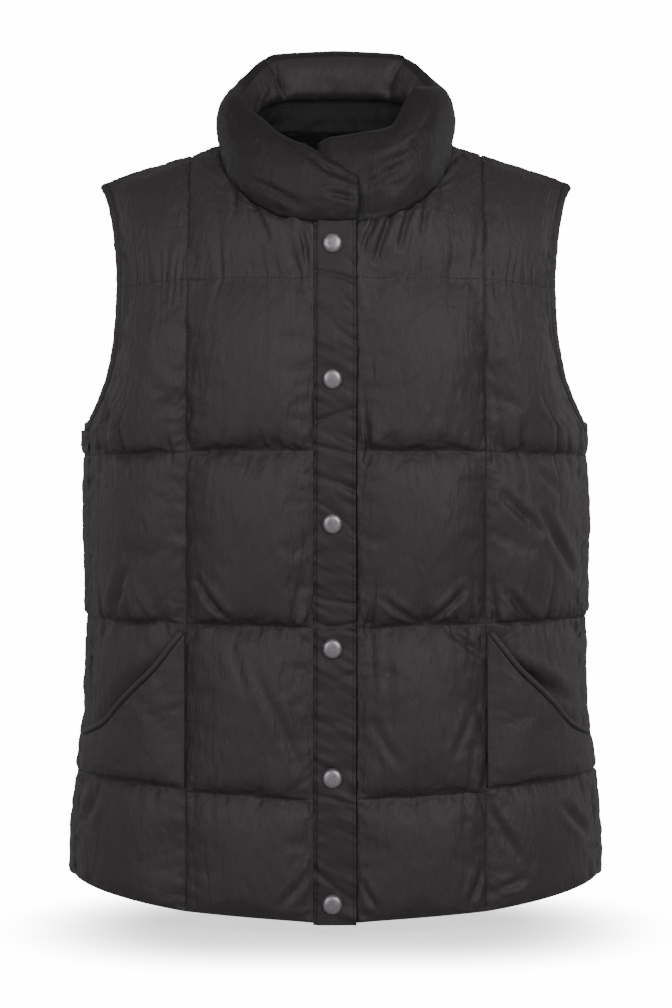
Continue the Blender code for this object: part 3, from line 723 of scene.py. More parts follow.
def crinkle_group() -> bpy.types.NodeTree:
    """The shader group of woven nylon: its tone, its gloss and its crinkled, woven height."""
    tree = bpy.data.node_groups.new("woven_crinkle", "ShaderNodeTree")
    face = tree.interface
    face.new_socket("Colour", in_out="INPUT", socket_type="NodeSocketColor")
    for name, value in (("Roughness", 0.5), ("Crinkle", 0.5), ("Weave", 0.5), ("Tone", 0.5)):
        face.new_socket(name, in_out="INPUT", socket_type="NodeSocketFloat").default_value = value
    face.new_socket("Colour", in_out="OUTPUT", socket_type="NodeSocketColor")
    face.new_socket("Roughness", in_out="OUTPUT", socket_type="NodeSocketFloat")
    face.new_socket("Height", in_out="OUTPUT", socket_type="NodeSocketFloat")
    sheet = ShaderSheet(tree)
    entry = sheet.add("NodeGroupInput", "in")
    leave = sheet.add("NodeGroupOutput", "out")
    place = sheet.add("ShaderNodeTexCoord", "object place")

    drawn = sheet.add("ShaderNodeMapping", "drawn out upwards", {"Scale": (1.0, 1.0, 0.26)})
    sheet.link(place, "Object", drawn, "Vector")

    def cloud(
        label: str, scale: float, detail: float, distortion: float, upright: bool,
    ) -> bpy.types.NodeSocket:
        """The value of a noise texture on the object's own coordinates."""
        shape = {"Scale": scale, "Detail": detail, "Distortion": distortion}
        node = sheet.add("ShaderNodeTexNoise", label, shape)
        sheet.link(drawn if upright else place, 0 if upright else "Object", node, "Vector")
        return node.outputs["Fac"]

    def sum_of(label: str, operation: str, first: object, second: object) -> bpy.types.NodeSocket:
        """The result of a math node between sockets or numbers."""
        node = sheet.add("ShaderNodeMath", label, operation=operation)
        for index, value in enumerate((first, second)):
            if isinstance(value, (int, float)):
                node.inputs[index].default_value = value
            else:
                tree.links.new(value, node.inputs[index])
        return node.outputs[0]

    soft = cloud("soft crinkles", 120.0, 3.0, 1.2, True)
    sharp = cloud("fine crinkles", 420.0, 2.0, 0.8, True)
    cloudy = cloud("dye", 11.0, 3.0, 0.0, False)
    fibre = cloud("fibre", 900.0, 1.0, 0.0, False)
    threads = []
    for label, direction in (("warp", "DIAGONAL"), ("weft", "Z")):
        bands = {"wave_type": "BANDS", "bands_direction": direction}
        wave = sheet.add("ShaderNodeTexWave", label, {"Scale": 520.0}, **bands)
        sheet.link(place, "Object", wave, "Vector")
        threads.append(wave.outputs["Fac"])

    fine = sum_of("fine share", "MULTIPLY", sharp, 0.26)
    crinkled = sum_of("crinkle sum", "ADD", soft, fine)
    crinkled = sum_of("crinkle height", "MULTIPLY", crinkled, entry.outputs["Crinkle"])
    fine = sum_of("fine", "MULTIPLY", entry.outputs["Weave"], 0.012)
    woven = sum_of("thread height", "MULTIPLY", sum_of("woven", "ADD", *threads), fine)
    tree.links.new(sum_of("height", "ADD", crinkled, woven), leave.inputs["Height"])

    speck = sum_of("fibre share", "MULTIPLY", sum_of("fibre tone", "SUBTRACT", fibre, 0.5), 0.45)
    tone = sum_of("tone sum", "ADD", sum_of("dye tone", "SUBTRACT", cloudy, 0.5), speck)
    tone = sum_of("tone", "MULTIPLY", tone, entry.outputs["Tone"])
    shade = sheet.add("ShaderNodeVectorMath", "dyed", operation="SCALE")
    tree.links.new(entry.outputs["Colour"], shade.inputs[0])
    tree.links.new(sum_of("brightness", "ADD", tone, 1.0), shade.inputs["Scale"])
    tree.links.new(shade.outputs[0], leave.inputs["Colour"])
    gloss = sum_of("gloss change", "MULTIPLY", tone, 0.35)
    tree.links.new(sum_of("roughness", "ADD", entry.outputs["Roughness"], gloss), leave.inputs["Roughness"])
    return tree


@dataclass(frozen=True)
class ClothFinish:
    """A woven nylon finish."""

    name: str
    colour: tuple[float, float, float]
    roughness: float = 0.56
    crinkle: float = 0.5
    weave: float = 0.5
    tone: float = 0.18
    sheen: float = 0.04
    bump: float = 0.90

    def material(self, crinkles: bpy.types.NodeTree) -> bpy.types.Material:
        """The finish as a material.

        Args:
            crinkles: The shader group of woven nylon.

        Returns:
            The material.
        """
        material, sheet, shader = ShaderSheet.of_material(self.name)
        cloth = sheet.add("ShaderNodeGroup", "cloth", {
            "Colour": (*self.colour, 1), "Roughness": self.roughness, "Crinkle": self.crinkle,
            "Weave": self.weave, "Tone": self.tone,
        }, node_tree=crinkles)
        bump = sheet.add("ShaderNodeBump", "relief", {"Strength": self.bump, "Distance": 0.003})
        sheet.link(cloth, "Colour", shader, "Base Color")
        sheet.link(cloth, "Roughness", shader, "Roughness")
        sheet.link(cloth, "Height", bump, "Height")
        sheet.link(bump, "Normal", shader, "Normal")
        sheet.give(shader, {
            "Sheen Weight": self.sheen, "Sheen Roughness": 0.45, "Sheen Tint": (0.80, 0.76, 0.78, 1),
            "IOR": 1.38,
        })
        return material


@dataclass(frozen=True)
class SnapFinish:
    """Dark lacquered pewter, slightly uneven in tone and gloss."""

    name: str = "lacquered_pewter"
    colour: tuple[float, float, float] = (0.235, 0.212, 0.236)
    roughness: float = 0.36

    def material(self) -> bpy.types.Material:
        """The finish as a material."""
        material, sheet, shader = ShaderSheet.of_material(self.name)
        place = sheet.add("ShaderNodeTexCoord", "object place")
        grain = sheet.add("ShaderNodeTexNoise", "grain", {"Scale": 420.0, "Detail": 3.0})
        sheet.link(place, "Object", grain, "Vector")
        tint = sheet.add("ShaderNodeValToRGB", "lacquer")
        for stop, place_on, strength in zip(tint.color_ramp.elements, (0.30, 0.70), (0.84, 1.12)):
            stop.position = place_on
            stop.color = (*(strength * part for part in self.colour), 1)
        sheet.link(grain, "Fac", tint, "Fac")
        sheet.link(tint, "Color", shader, "Base Color")
        ends = {"To Min": self.roughness - 0.06, "To Max": self.roughness + 0.10}
        dull = sheet.add("ShaderNodeMapRange", "rubbed", ends)
        sheet.link(grain, "Fac", dull, "Value")
        sheet.link(dull, "Result", shader, "Roughness")
        bump = sheet.add("ShaderNodeBump", "fine relief", {"Strength": 0.08, "Distance": 0.0006})
        sheet.link(grain, "Fac", bump, "Height")
        sheet.link(bump, "Normal", shader, "Normal")
        sheet.give(shader, {"Metallic": 0.80, "Coat Weight": 0.25, "Coat Roughness": 0.25})
        return material


@dataclass
class Wardrobe:
    """Every finish of the vest."""

    shell: bpy.types.Material
    collar: bpy.types.Material
    # Near-black finish inside the collar below its crease: painted shade of the neck's hollow.
    neck_hollow_shade: bpy.types.Material
    lining: bpy.types.Material
    trim: bpy.types.Material
    thread: bpy.types.Material
    metal: bpy.types.Material

    @classmethod
    def dyed(cls) -> "Wardrobe":
        """Makes every finish."""
        finishes = (
            ClothFinish("shell_nylon", (0.0243, 0.0197, 0.0204)),
            ClothFinish("collar_nylon", (0.0100, 0.0073, 0.0080), crinkle=0.42),
            # Painted shade: a near-black copy of the cloth for the collar's inside below its crease.
            ClothFinish("painted_neck_shade", (0.0030, 0.0027, 0.0028), roughness=0.75, crinkle=0.25, bump=0.40),
            ClothFinish("lining_taffeta", (0.0110, 0.0096, 0.0100), roughness=0.44, crinkle=0.30, bump=0.50),
            ClothFinish("trim_nylon", (0.0180, 0.0140, 0.0148), roughness=0.57, crinkle=0.30, bump=0.60),
            ClothFinish("sewing_thread", (0.0090, 0.0080, 0.0084), roughness=0.60, crinkle=0.1, tone=0.4),
        )
        crinkles = crinkle_group()
        return cls(*(finish.material(crinkles) for finish in finishes), metal=SnapFinish().material())


@dataclass
class Stitching:
    """Thread laid in even stitches along lines on the cloth."""

    name: str
    pitch: float = 0.0031
    length: float = 0.0023
    radius: float = 0.00030
    runs: list[list[tuple[Vector, Vector]]] = field(default_factory=list)

    def run(self, points: Sequence[Vector], normals: Sequence[Vector]) -> None:
        """Adds a line of stitches through points, each with the direction out of the cloth there."""
        self.runs.append(list(zip(points, normals)))

    def build(self, finish: bpy.types.Material, slot: str) -> bpy.types.Object:
        """Makes the stitches of every line as one piece.

        Args:
            finish: The thread's material.
            slot: Not used.

        Returns:
            The piece.
        """
        whole = bmesh.new()
        for run in self.runs:
            line = bmesh.new()
            for centre, along, out in self._stitches(run):
                turn = Matrix((along, out.cross(along), out)).transposed().to_4x4()
                size = Matrix.Diagonal((self.length / 2, self.radius, self.radius, 1))
                bmesh.ops.create_icosphere(
                    line, subdivisions=1, radius=1.0, matrix=Matrix.Translation(centre) @ turn @ size,
                )
            bmesh.ops.recalc_face_normals(line, faces=line.faces[:])
            data = mesh_data("line", line)
            whole.from_mesh(data)
            bpy.data.meshes.remove(data)
        return publish(self.name, whole, [finish], slot)

    def _stitches(self, run: list[tuple[Vector, Vector]]) -> Iterable[tuple[Vector, Vector, Vector]]:
        """The centre, the direction and the outward direction of each stitch of a line."""
        walked, due = 0.0, self.pitch / 2
        for (start, out), (end, _) in zip(run, run[1:]):
            step = end - start
            span = step.length
            if span < 1e-9:
                continue
            along = step / span
            lift = (out - along * out.dot(along)).normalized()
            while due <= walked + span:
                yield start + along * (due - walked) + lift * self.radius * 0.4, along, lift
                due += self.pitch
            walked += span


@dataclass
class QuiltedPanel:
    """A front or the back: shell cloth quilted over padding, with its lining."""

    name: str
    cut: PanelCut
    side: Side
    node: str
    creases: tuple[Crease, ...] = ()
    columns_each: tuple[int, int] = (72, 80)
    band_levels: tuple[int, ...] = (38, 52, 55, 54, 46)
    stitched_wall: float = 0.0025
    edge_wall: float = 0.0040
    start_puff: tuple[float, ...] = (0.0060, 0.0080, 0.0092, 0.0082, 0.0050)
    row_gathers: tuple[float, ...] = (0.30, 0.65, 1.0, 1.0, 0.55)
    row_slack: tuple[float, ...] = (0.30, 0.50, 0.90, 0.85, 0.10, 0.30)
    gather_height: float = 0.0036
    over_row: Gather = Gather(1.0, 0.0100, 0.0)
    over_row_creases: Gather = Gather(1.45, 0.020, 1.7)
    under_row: Gather = Gather(0.55, 0.0120, 5.3)
    under_row_creases: Gather = Gather(0.65, 0.030, 7.0)
    along_line: Gather = Gather(0.50, 0.0075, 8.1)
    along_line_creases: Gather = Gather(0.45, 0.014, 17.0)
    along_neck: Gather = Gather(0.9, 0.020, 2.9)
    along_side: Gather = Gather(0.65, 0.017, 91.0)
    along_armhole: Gather = Gather(0.35, 0.010, 91.0)
    line_groove: float = 0.30
    crinkle_height: float = 0.00052
    row_sway: float = 0.0010
    line_sway: float = 0.0009
    cell_girth: float = 0.105
    yoke_height: float = 0.105
    least_wall: float = 0.0016
    side_puff: float = 0.40
    side_keep: float = 0.55
    rounding: float = 0.0012
    pocket: "Pocket | None" = None
    inner: Grid = field(default_factory=list)
    normals: Grid = field(default_factory=list)
    walls: list[list[float]] = field(default_factory=list)
    sheet: ClothSheet | None = None

    def crossings(self) -> list[float]:
        """Each column's place across the panel, from its least X to its greatest."""
        first, second = self.columns_each
        half = [crowded(k / first, 0.05) for k in range(first)]
        half += [1 + crowded(k / second, 0.05) for k in range(second)] + [2.0]
        return half if self.side is Side.LEFT else [-value for value in reversed(half)]

    def heights(self) -> list[float]:
        """Each level's place up the panel, from the hem to the shoulder."""
        ups: list[float] = []
        for band, count in enumerate(self.band_levels):
            ups += [band + crowded(k / count) for k in range(count)]
        return ups + [float(len(self.band_levels))]

    def place(self, across: float, up: float) -> tuple[Vector, Vector]:
        """The point and the outward direction of the form under a place of the panel."""
        spot = self.cut.place(abs(across), up)
        point, normal = self.cut.form.point(spot), self.cut.form.normal(spot)
        if self.side is Side.RIGHT:
            point.x, normal.x = -point.x, -normal.x
        return point, normal

    def wall_at(self, across: float, up: float, point: Vector) -> float:
        """The thickness of the padding before the cloth is relaxed."""
        band, share = self.band_share(up)
        part = abs(across) % 1.0 if abs(across) < 2 else 1.0
        roll = clamp((abs(point.x) - 0.15) / 0.04)
        puff = self.start_puff[band] * cell_profile(part) * mix(1.0, self.side_puff, roll)
        puff *= cell_profile(min(sagged(share), 0.999))
        if band == self.last_band:
            puff *= mix(1.0, 0.35, share) * smooth_step(-0.15, 0.50, share)
        elif band == self.last_band - 1:
            puff *= mix(1.0, 0.30, share * share)
        if self.pocket:
            puff *= 1 - 0.8 * self.pocket.cover(abs(across), up)
        edge = smooth_step(0.16, 0.0, abs(across)) if not self.cut.back else 0.0
        lumpy = 1 + 0.30 * ripple(point.x * 34, point.z * 22, 3.7)
        return mix(self.stitched_wall, self.edge_wall, edge) + puff * lumpy

    @property
    def last_band(self) -> int:
        """The number of the yoke's band, the highest."""
        return len(self.band_levels) - 1

    def band_share(self, up: float) -> tuple[int, float]:
        """The band that a place lies in, and its share of the way up it."""
        band = min(int(up + 1e-9), self.last_band)
        return band, clamp(up - band)

    def relief(self, across: float, up: float, point: Vector) -> Vector:
        """How gathers, puckers and crinkles move the relaxed cloth at a place.

        Args:
            across: Cells out from the centre, below 0 at the wearer's right.
            up: Bands up from the hem.
            point: The point of the form under the place.

        Returns:
            The move along X, up, and outwards.
        """
        band, share = self.band_share(up)
        part = abs(across) % 1.0 if abs(across) < 2 else 1.0
        rows = self.cut.rows
        height = rows[band + 1][0] - rows[band][0] if band < self.last_band else self.yoke_height
        below, above = share * height, (1 - share) * height
        girth = across * self.cell_girth
        near_line = min(part, 1 - part) * self.cell_girth
        near_side = (2 - abs(across)) * self.cell_girth
        seed = 5.3 * band + (40.0 if self.cut.back else 0.0)
        lean = 0.9 * ripple(girth * 21, band * 1.7, 6.1)
        grip = self.row_gathers[band]
        grip_above = self.row_gathers[band + 1] if band < self.last_band else 0.0

        lift = grip * self.over_row.waves(girth + lean * below, below, seed)
        lift += grip * self.over_row_creases.creases(girth + 0.8 * lean * below, below, seed)
        lift += grip_above * self.under_row.waves(girth - lean * above, above, seed)
        lift += grip_above * self.under_row_creases.creases(girth - 0.6 * lean * above, above, seed)
        lift *= mix(0.30, 1.0, clamp(min(below, above) / 0.0035))
        puckers = self.along_line.waves(0.85 * point.z + 0.3 * girth, near_line, seed)
        lift += puckers * mix(0.35, 1.0, clamp(near_line / 0.003))
        lift += self.along_line_creases.creases(1.25 * point.z + 0.5 * near_line, near_line, seed)
        lift -= self.line_groove * groove(near_line, 0.0011)
        if band == self.last_band and abs(across) < 1:
            neck = smooth_step(self.cut.neck_level - 0.12, self.cut.neck_level + 0.08, share)
            away = abs(across) * 0.045
            lift += neck * self.along_neck.waves(share * 0.12 + lean * away, away, seed)
        open_edge = up > 3 + self.cut.underarm
        seam = self.along_armhole if open_edge else self.along_side
        lift += seam.waves(0.70 * point.z - 0.4 * near_side, near_side, 3 * self.side.value)
        out = self.gather_height * lift + self.crinkle_height * crinkle(girth, point.z, seed + 0.7)
        if self.pocket:
            out *= 1 - 0.8 * self.pocket.cover(abs(across), up)

        row = band if below < above else band + 1
        rise = self.row_sway * groove(min(below, above), 0.007) * ripple(girth * 62, row * 3.1, 7.7)
        rise *= (0 < row <= self.last_band) * clamp(near_side / 0.006)
        shift = self.line_sway * groove((abs(across) - 1) * self.cell_girth, 0.006)
        shift *= ripple(point.z * 46, 5.1, self.side.value)
        free = clamp((below if band == 0 else 1.0) / 0.004)
        free *= clamp((above if band == self.last_band else 1.0) / 0.004)
        if not self.cut.back:
            free *= clamp(abs(across) * self.cell_girth / 0.006)
        if open_edge:
            free *= clamp(near_side / 0.004)
        return Vector((shift * free, rise * free, out * free))

    def lay_out(self) -> ClothSheet:
        """Works out the form's points and the sheet of cloth to relax, which has every other column."""
        crossings, ups = self.crossings(), self.heights()
        outer = []
        for up in ups:
            points, normals, walls, line = [], [], [], []
            for across in crossings:
                point, normal = self.place(across, up)
                wall = self.wall_at(across, up, point)
                points.append(point)
                normals.append(normal)
                walls.append(wall)
                line.append(point + normal * wall)
            self.inner.append(points)
            self.normals.append(normals)
            self.walls.append(walls)
            outer.append(line[::2])
        held = crossings[::2]
        last_level, last_column = len(ups) - 1, len(held) - 1

        def pinned(level: int, column: int) -> float:
            """Whether a point is held by stitching."""
            on_row = abs(ups[level] - round(ups[level])) < TINY
            on_line = abs(held[column] - round(held[column])) < TINY
            border = level in (0, last_level) or column in (0, last_column)
            return 1.0 if on_row or on_line or border else 0.0

        def slack(level: int, column: int) -> float:
            """How much slack the cloth has: most beside the rows and round the neck."""
            up, across = ups[level], abs(held[column])
            share = up - int(up)
            band = min(int(up), self.last_band)
            near_row = 0.55 * self.row_slack[band + 1] * groove(1 - share, 0.16)
            near_row += self.row_slack[band] * groove(share, 0.16)
            neck = 0.0
            if up > 4 + self.cut.neck_level - 0.15:
                neck = 1.3 * clamp(1 - across / 0.8)
            return clamp(near_row + neck)

        self.sheet = ClothSheet(self.name, outer, pinned, slack)
        return self.sheet

    def _moves(self) -> Grid:
        """How far the cloth moved from its start as it relaxed, at every column."""
        grid = []
        for start, end in zip(self.sheet.points, self.sheet.relaxed):
            held = [after - before for before, after in zip(start, end)]
            last = len(held) - 1
            line = [held[0]]
            for k in range(last):
                ends = held[max(0, k - 1)] + held[min(last, k + 2)]
                line += [(held[k] + held[k + 1]) * 0.5625 - ends * 0.0625, held[k + 1]]
            grid.append(line)
        return grid

    def finished(self) -> Grid:
        """The relaxed cloth with its gathers and creases, kept clear of the lining and the pocket."""
        crossings, ups = self.crossings(), self.heights()
        rows = []
        for level, row in enumerate(self._moves()):
            line = []
            for column, step in enumerate(row):
                across, up = crossings[column], ups[level]
                base, normal = self.inner[level][column], self.normals[level][column]
                roll = smooth_step(0.13, 0.19, abs(base.x))
                step = step * mix(1.0, self.side_keep, roll)
                if self.pocket:
                    step *= 1 - self.pocket.cover(abs(across), up)
                if up > 3:
                    step *= mix(0.40, 1.0, smooth_step(0.0, 0.35, abs(up - 4)))
                shift, rise, out = self.relief(across, up, base)
                near_row = abs(up - round(up)) * 0.12
                near_line = abs(across - round(across)) * self.cell_girth
                free = clamp(min(near_row, near_line) / 0.005)
                out += free * sum(crease.press(base) for crease in self.creases)
                moved = base + normal * (self.walls[level][column] + out) + step
                moved += Vector((shift, 0.0, rise))
                short = self.least_wall - (moved - base).dot(normal)
                line.append(moved + normal * max(0.0, short))
            rows.append(line)
        return rows

    def build(self, wardrobe: Wardrobe, twin: "QuiltedPanel | None" = None) -> bpy.types.Object:
        """Makes the panel.

        Args:
            wardrobe: The finishes.
            twin: The half that this one is cut in one piece with, if there is one.

        Returns:
            The panel.
        """
        halves = []
        for half in (self, twin) if twin else (self,):
            half.sheet.relaxed = half.finished()
            halves.append(wall_between(half.sheet.relaxed, half.inner))
        whole = joined_halves(halves) if twin else halves[0]
        piece = publish(
            f"padded_{self.node}", rounded(whole, self.rounding), [wardrobe.shell, wardrobe.lining],
            "quilted_shell", [self.node],
        )
        return piece

    def sew(self, thread: Stitching) -> None:
        """Lays stitches along the rows and the vertical quilting."""
        crossings, ups = self.crossings(), self.heights()
        outer = self.sheet.relaxed
        for level, up in enumerate(ups):
            if abs(up - round(up)) < TINY and 0 < up < len(self.band_levels):
                thread.run(outer[level], self.normals[level])
        for column, across in enumerate(crossings):
            on_centre = across == 0 and self.cut.back and self.side is Side.LEFT
            if abs(abs(across) - 1) < TINY or on_centre:
                top = sum(1 for up in ups if up <= 4 + self.cut.neck_level) if across == 0 else len(ups)
                points = [row[column] for row in outer[:top]]
                thread.run(points, [row[column] for row in self.normals[:top]])


@dataclass
class Pocket:
    """A pocket layer over the side cell of a front, with a welt along its slanted mouth."""

    side: Side
    gape: float
    band: int = 1
    wall: float = 0.0030
    edge_wall: float = 0.0010
    puff: float = 0.0046
    line: ShapeTable = ShapeTable((
        # share from the quilt line to the side, share of the band
        (0.00, 0.940), (0.09, 0.812), (0.18, 0.700), (0.32, 0.575), (0.46, 0.458),
        (0.59, 0.345), (0.70, 0.290), (0.84, 0.250), (1.00, 0.215),
    ))
    welt_width: float = 0.0055
    height: float = 0.070
    width: float = 0.095
    gather_height: float = 0.0014
    over_row: Gather = Gather(1.0, 0.010, 71.0)
    over_row_creases: Gather = Gather(0.8, 0.026, 73.0)
    along_edge: Gather = Gather(0.45, 0.006, 77.0)
    under_mouth: Gather = Gather(0.35, 0.008, 79.0)
    columns: int = 44
    rows: int = 44
    panel: QuiltedPanel | None = None
    sheet: ClothSheet | None = None
    inner: Grid = field(default_factory=list)
    normals: Grid = field(default_factory=list)

    def mouth(self, part: float) -> float:
        """The share of the band at which the mouth crosses, from the quilt line to the side."""
        return self.line.read(clamp(part))

    def cover(self, across: float, up: float) -> float:
        """How far a place of the panel lies under the pocket: 1 well under it, 0 clear of it."""
        if across <= 1.0 or not self.band <= up <= self.band + 1:
            return 0.0
        above = (up - self.band) - self.mouth(across - 1)
        return 1 - smooth_step(0.0, 0.22, above)

    def lay_out(self, panel: QuiltedPanel) -> ClothSheet:
        """Works out the pocket's lining and the sheet of cloth to relax, over the panel it lies on."""
        self.panel = panel
        sign = self.side.value
        outer: Grid = []
        for row in range(self.rows + 1):
            rise = row / self.rows
            low, out, line = [], [], []
            for column in range(self.columns + 1):
                part = column / self.columns
                across = 1 + mix(0.002, 0.990, part)
                up = self.band + mix(0.015, self.mouth(part), rise)
                point, normal = panel.place(sign * across, up)
                under = panel.wall_at(sign * across, up, point)
                lift = 0.0004 + self.gape * rise**3 * math.sin(math.pi * part)
                puff = self.puff * cell_profile(part) * cell_profile(mix(0.0, 0.86, sagged(rise)))
                sewn = min(1.0, part / 0.10, (1 - part) / 0.10, rise / 0.08)
                wall = mix(self.edge_wall, self.wall, sewn * (2 - sewn))
                low.append(point + normal * (under + lift))
                out.append(normal)
                line.append(point + normal * (under + lift + wall + puff))
            self.inner.append(low)
            self.normals.append(out)
            outer.append(line)
        last_row, last_column = self.rows, self.columns

        def pinned(level: int, column: int) -> float:
            """Whether a point is held by stitching."""
            return 1.0 if level in (0, last_row) or column in (0, last_column) else 0.0

        def slack(level: int, column: int) -> float:
            """How much slack the cloth has: most beside the row below it."""
            return clamp(0.2 + 0.8 * groove(level / last_row, 0.14))

        self.sheet = ClothSheet(f"pocket_{self.side.word}", outer, pinned, slack)
        return self.sheet

    def build(self, wardrobe: Wardrobe) -> bpy.types.Object:
        """Makes the pocket's layer."""
        outer = []
        for level, row in enumerate(self.sheet.relaxed):
            line = []
            for column, point in enumerate(row):
                base, normal = self.inner[level][column], self.normals[level][column]
                start = self.sheet.points[level][column]
                roll = smooth_step(0.14, 0.19, abs(base.x))
                moved = start + (point - start) * mix(1.0, 0.55, roll)
                moved += normal * self.relief(level / self.rows, column / self.columns, base)
                least = 0.0010 - (moved - base).dot(normal)
                line.append(moved + normal * max(0.0, least))
            outer.append(line)
        self.sheet.relaxed = outer
        piece = publish(
            f"padded_pocket_{self.side.word}", rounded(wall_between(outer, self.inner), 0.0007),
            [wardrobe.shell, wardrobe.lining], "quilted_shell", [f"pocket_{self.side.word}"],
        )
        return piece

    def relief(self, rise: float, part: float, base: Vector) -> float:
        """How far gathers and crinkles lift the pocket's cloth, or sink it, at a place."""
        below, above = rise * self.height, (1 - rise) * self.height
        along, edge = part * self.width, min(part, 1 - part) * self.width
        lift = self.over_row.waves(along, below)
        lift += self.over_row_creases.creases(along + 0.3 * below, below)
        lift += self.along_edge.waves(0.85 * base.z, edge)
        lift += self.under_mouth.waves(part * 0.11, above)
        fade = clamp(min(below, edge, above) / 0.003)
        return fade * (self.gather_height * lift + 0.00030 * crinkle(along, base.z, 83.0))

    def build_welt(self, wardrobe: Wardrobe, thread: Stitching) -> bpy.types.Object:
        """Makes the stitched welt along the mouth.

        Args:
            wardrobe: The finishes.
            thread: Where the welt's stitches go.

        Returns:
            The welt.
        """
        low, high, out = self.inner[-1], self.sheet.relaxed[-1], self.normals[-1]
        towards = self.panel.place(self.side.value * 1.6, 3.0)[0]
        stations, seam, lifts, flat = [], [], [], 0.0
        last, reach = len(low) - 1, self.welt_width / 2
        for k, (under, over) in enumerate(zip(low, high)):
            along = (low[min(last, k + 1)] - low[max(0, k - 1)]).normalized()
            away = along.cross(out[k]).normalized()
            away *= 1 if away.dot(towards - under) > 0 else -1
            wave = 0.00022 * ripple(k * 0.9, 4.2 + self.side.value)
            middle = (under + over) / 2 + out[k] * (0.0006 + wave)
            half = (over - under).length / 2 + 0.0002
            stations.append(oval(middle + away * reach, away, out[k], reach - 0.0002, half))
            seam.append(middle + away * 0.0016 + out[k] * (half * 0.94))
            lifts.append(out[k])
            flat += (low[k] - low[k - 1]).length if k else 0.0
        thread.run(seam, lifts)
        piece = publish(
            f"welt_{self.side.word}", tube_mesh(stations, False), [wardrobe.shell], "trim_cloth",
            [f"pocket_welt_{self.side.word}"],
        )
        return piece


def oval(
    centre: Vector, across: Vector, out: Vector, half_width: float, half_height: float, steps: int = 14,
    power: float = 2.6,
) -> list[Vector]:
    """A rounded section of a folded strip.

    Args:
        centre: The middle of the strip.
        across: The direction of its width.
        out: The direction of its thickness.
        half_width: Half its width.
        half_height: Half its thickness.
        steps: How many points it has.
        power: How square it is.

    Returns:
        The points of the section.
    """
    points = []
    for step in range(steps):
        turn = 2 * math.pi * step / steps
        wide = math.copysign(abs(math.cos(turn)) ** (2 / power), math.cos(turn))
        high = math.copysign(abs(math.sin(turn)) ** (2 / power), math.sin(turn))
        points.append(centre + across * half_width * wide + out * half_height * high)
    return points


@dataclass
class ArmholeBinding:
    """The folded strip that closes the edge of an armhole."""

    side: Side
    width: float = 0.0062
    cut_width: float = 0.0110
    seam_inset: float = 0.0013
    centre: Vector = field(default_factory=lambda: Vector((0.186, 0.0, -0.125)))

    def build(
        self, front: QuiltedPanel, back: QuiltedPanel, wardrobe: Wardrobe, thread: Stitching,
    ) -> bpy.types.Object:
        """Makes the binding round both panels' edges.

        Args:
            front: The front at this side.
            back: The back's half at this side.
            wardrobe: The finishes.
            thread: Where the binding's stitches go.

        Returns:
            The binding.
        """
        sign = self.side.value
        edge = []
        for panel, order in ((front, 1), (back, -1)):
            column = 0 if sign < 0 else -1
            start = next(k for k, up in enumerate(panel.heights()) if up >= 3 + panel.cut.underarm)
            rows = zip(panel.inner[start:], panel.sheet.relaxed[start:], panel.normals[start:])
            edge += [(low[column], high[column], out[column]) for low, high, out in rows][::order]
        target = Vector((sign * self.centre.x, self.centre.y, self.centre.z))
        stations, seam, lifts, length = [], [], [], 0.0
        count = len(edge)
        for k, (low, high, out) in enumerate(edge):
            before, after = edge[(k - 2) % count][0], edge[(k + 2) % count][0]
            along = (after - before).normalized()
            thick = (edge[(k - 1) % count][2] + out + edge[(k + 1) % count][2]).normalized()
            away = along.cross(thick).normalized()
            away *= 1 if away.dot(target - low) > 0 else -1
            pucker = 0.00055 * ripple(k * 0.62, 2.3 * sign)
            middle = (low + high) / 2 + away * (0.0002 + self.width / 2)
            half = (high - low).length * 0.46
            stations.append(oval(middle, away, thick, self.width / 2 + 0.0005 + pucker, half + pucker))
            seam.append(middle - away * (self.width / 2 - self.seam_inset) + thick * (half + pucker) * 0.93)
            lifts.append(thick)
            length += (low - edge[k - 1][0]).length if k else 0.0
        thread.run(seam + seam[:1], lifts + lifts[:1])
        piece = publish(
            f"binding_{self.side.word}", tube_mesh(stations, True), [wardrobe.shell], "trim_cloth",
            [f"armhole_binding_{self.side.word}"],
        )
        return piece


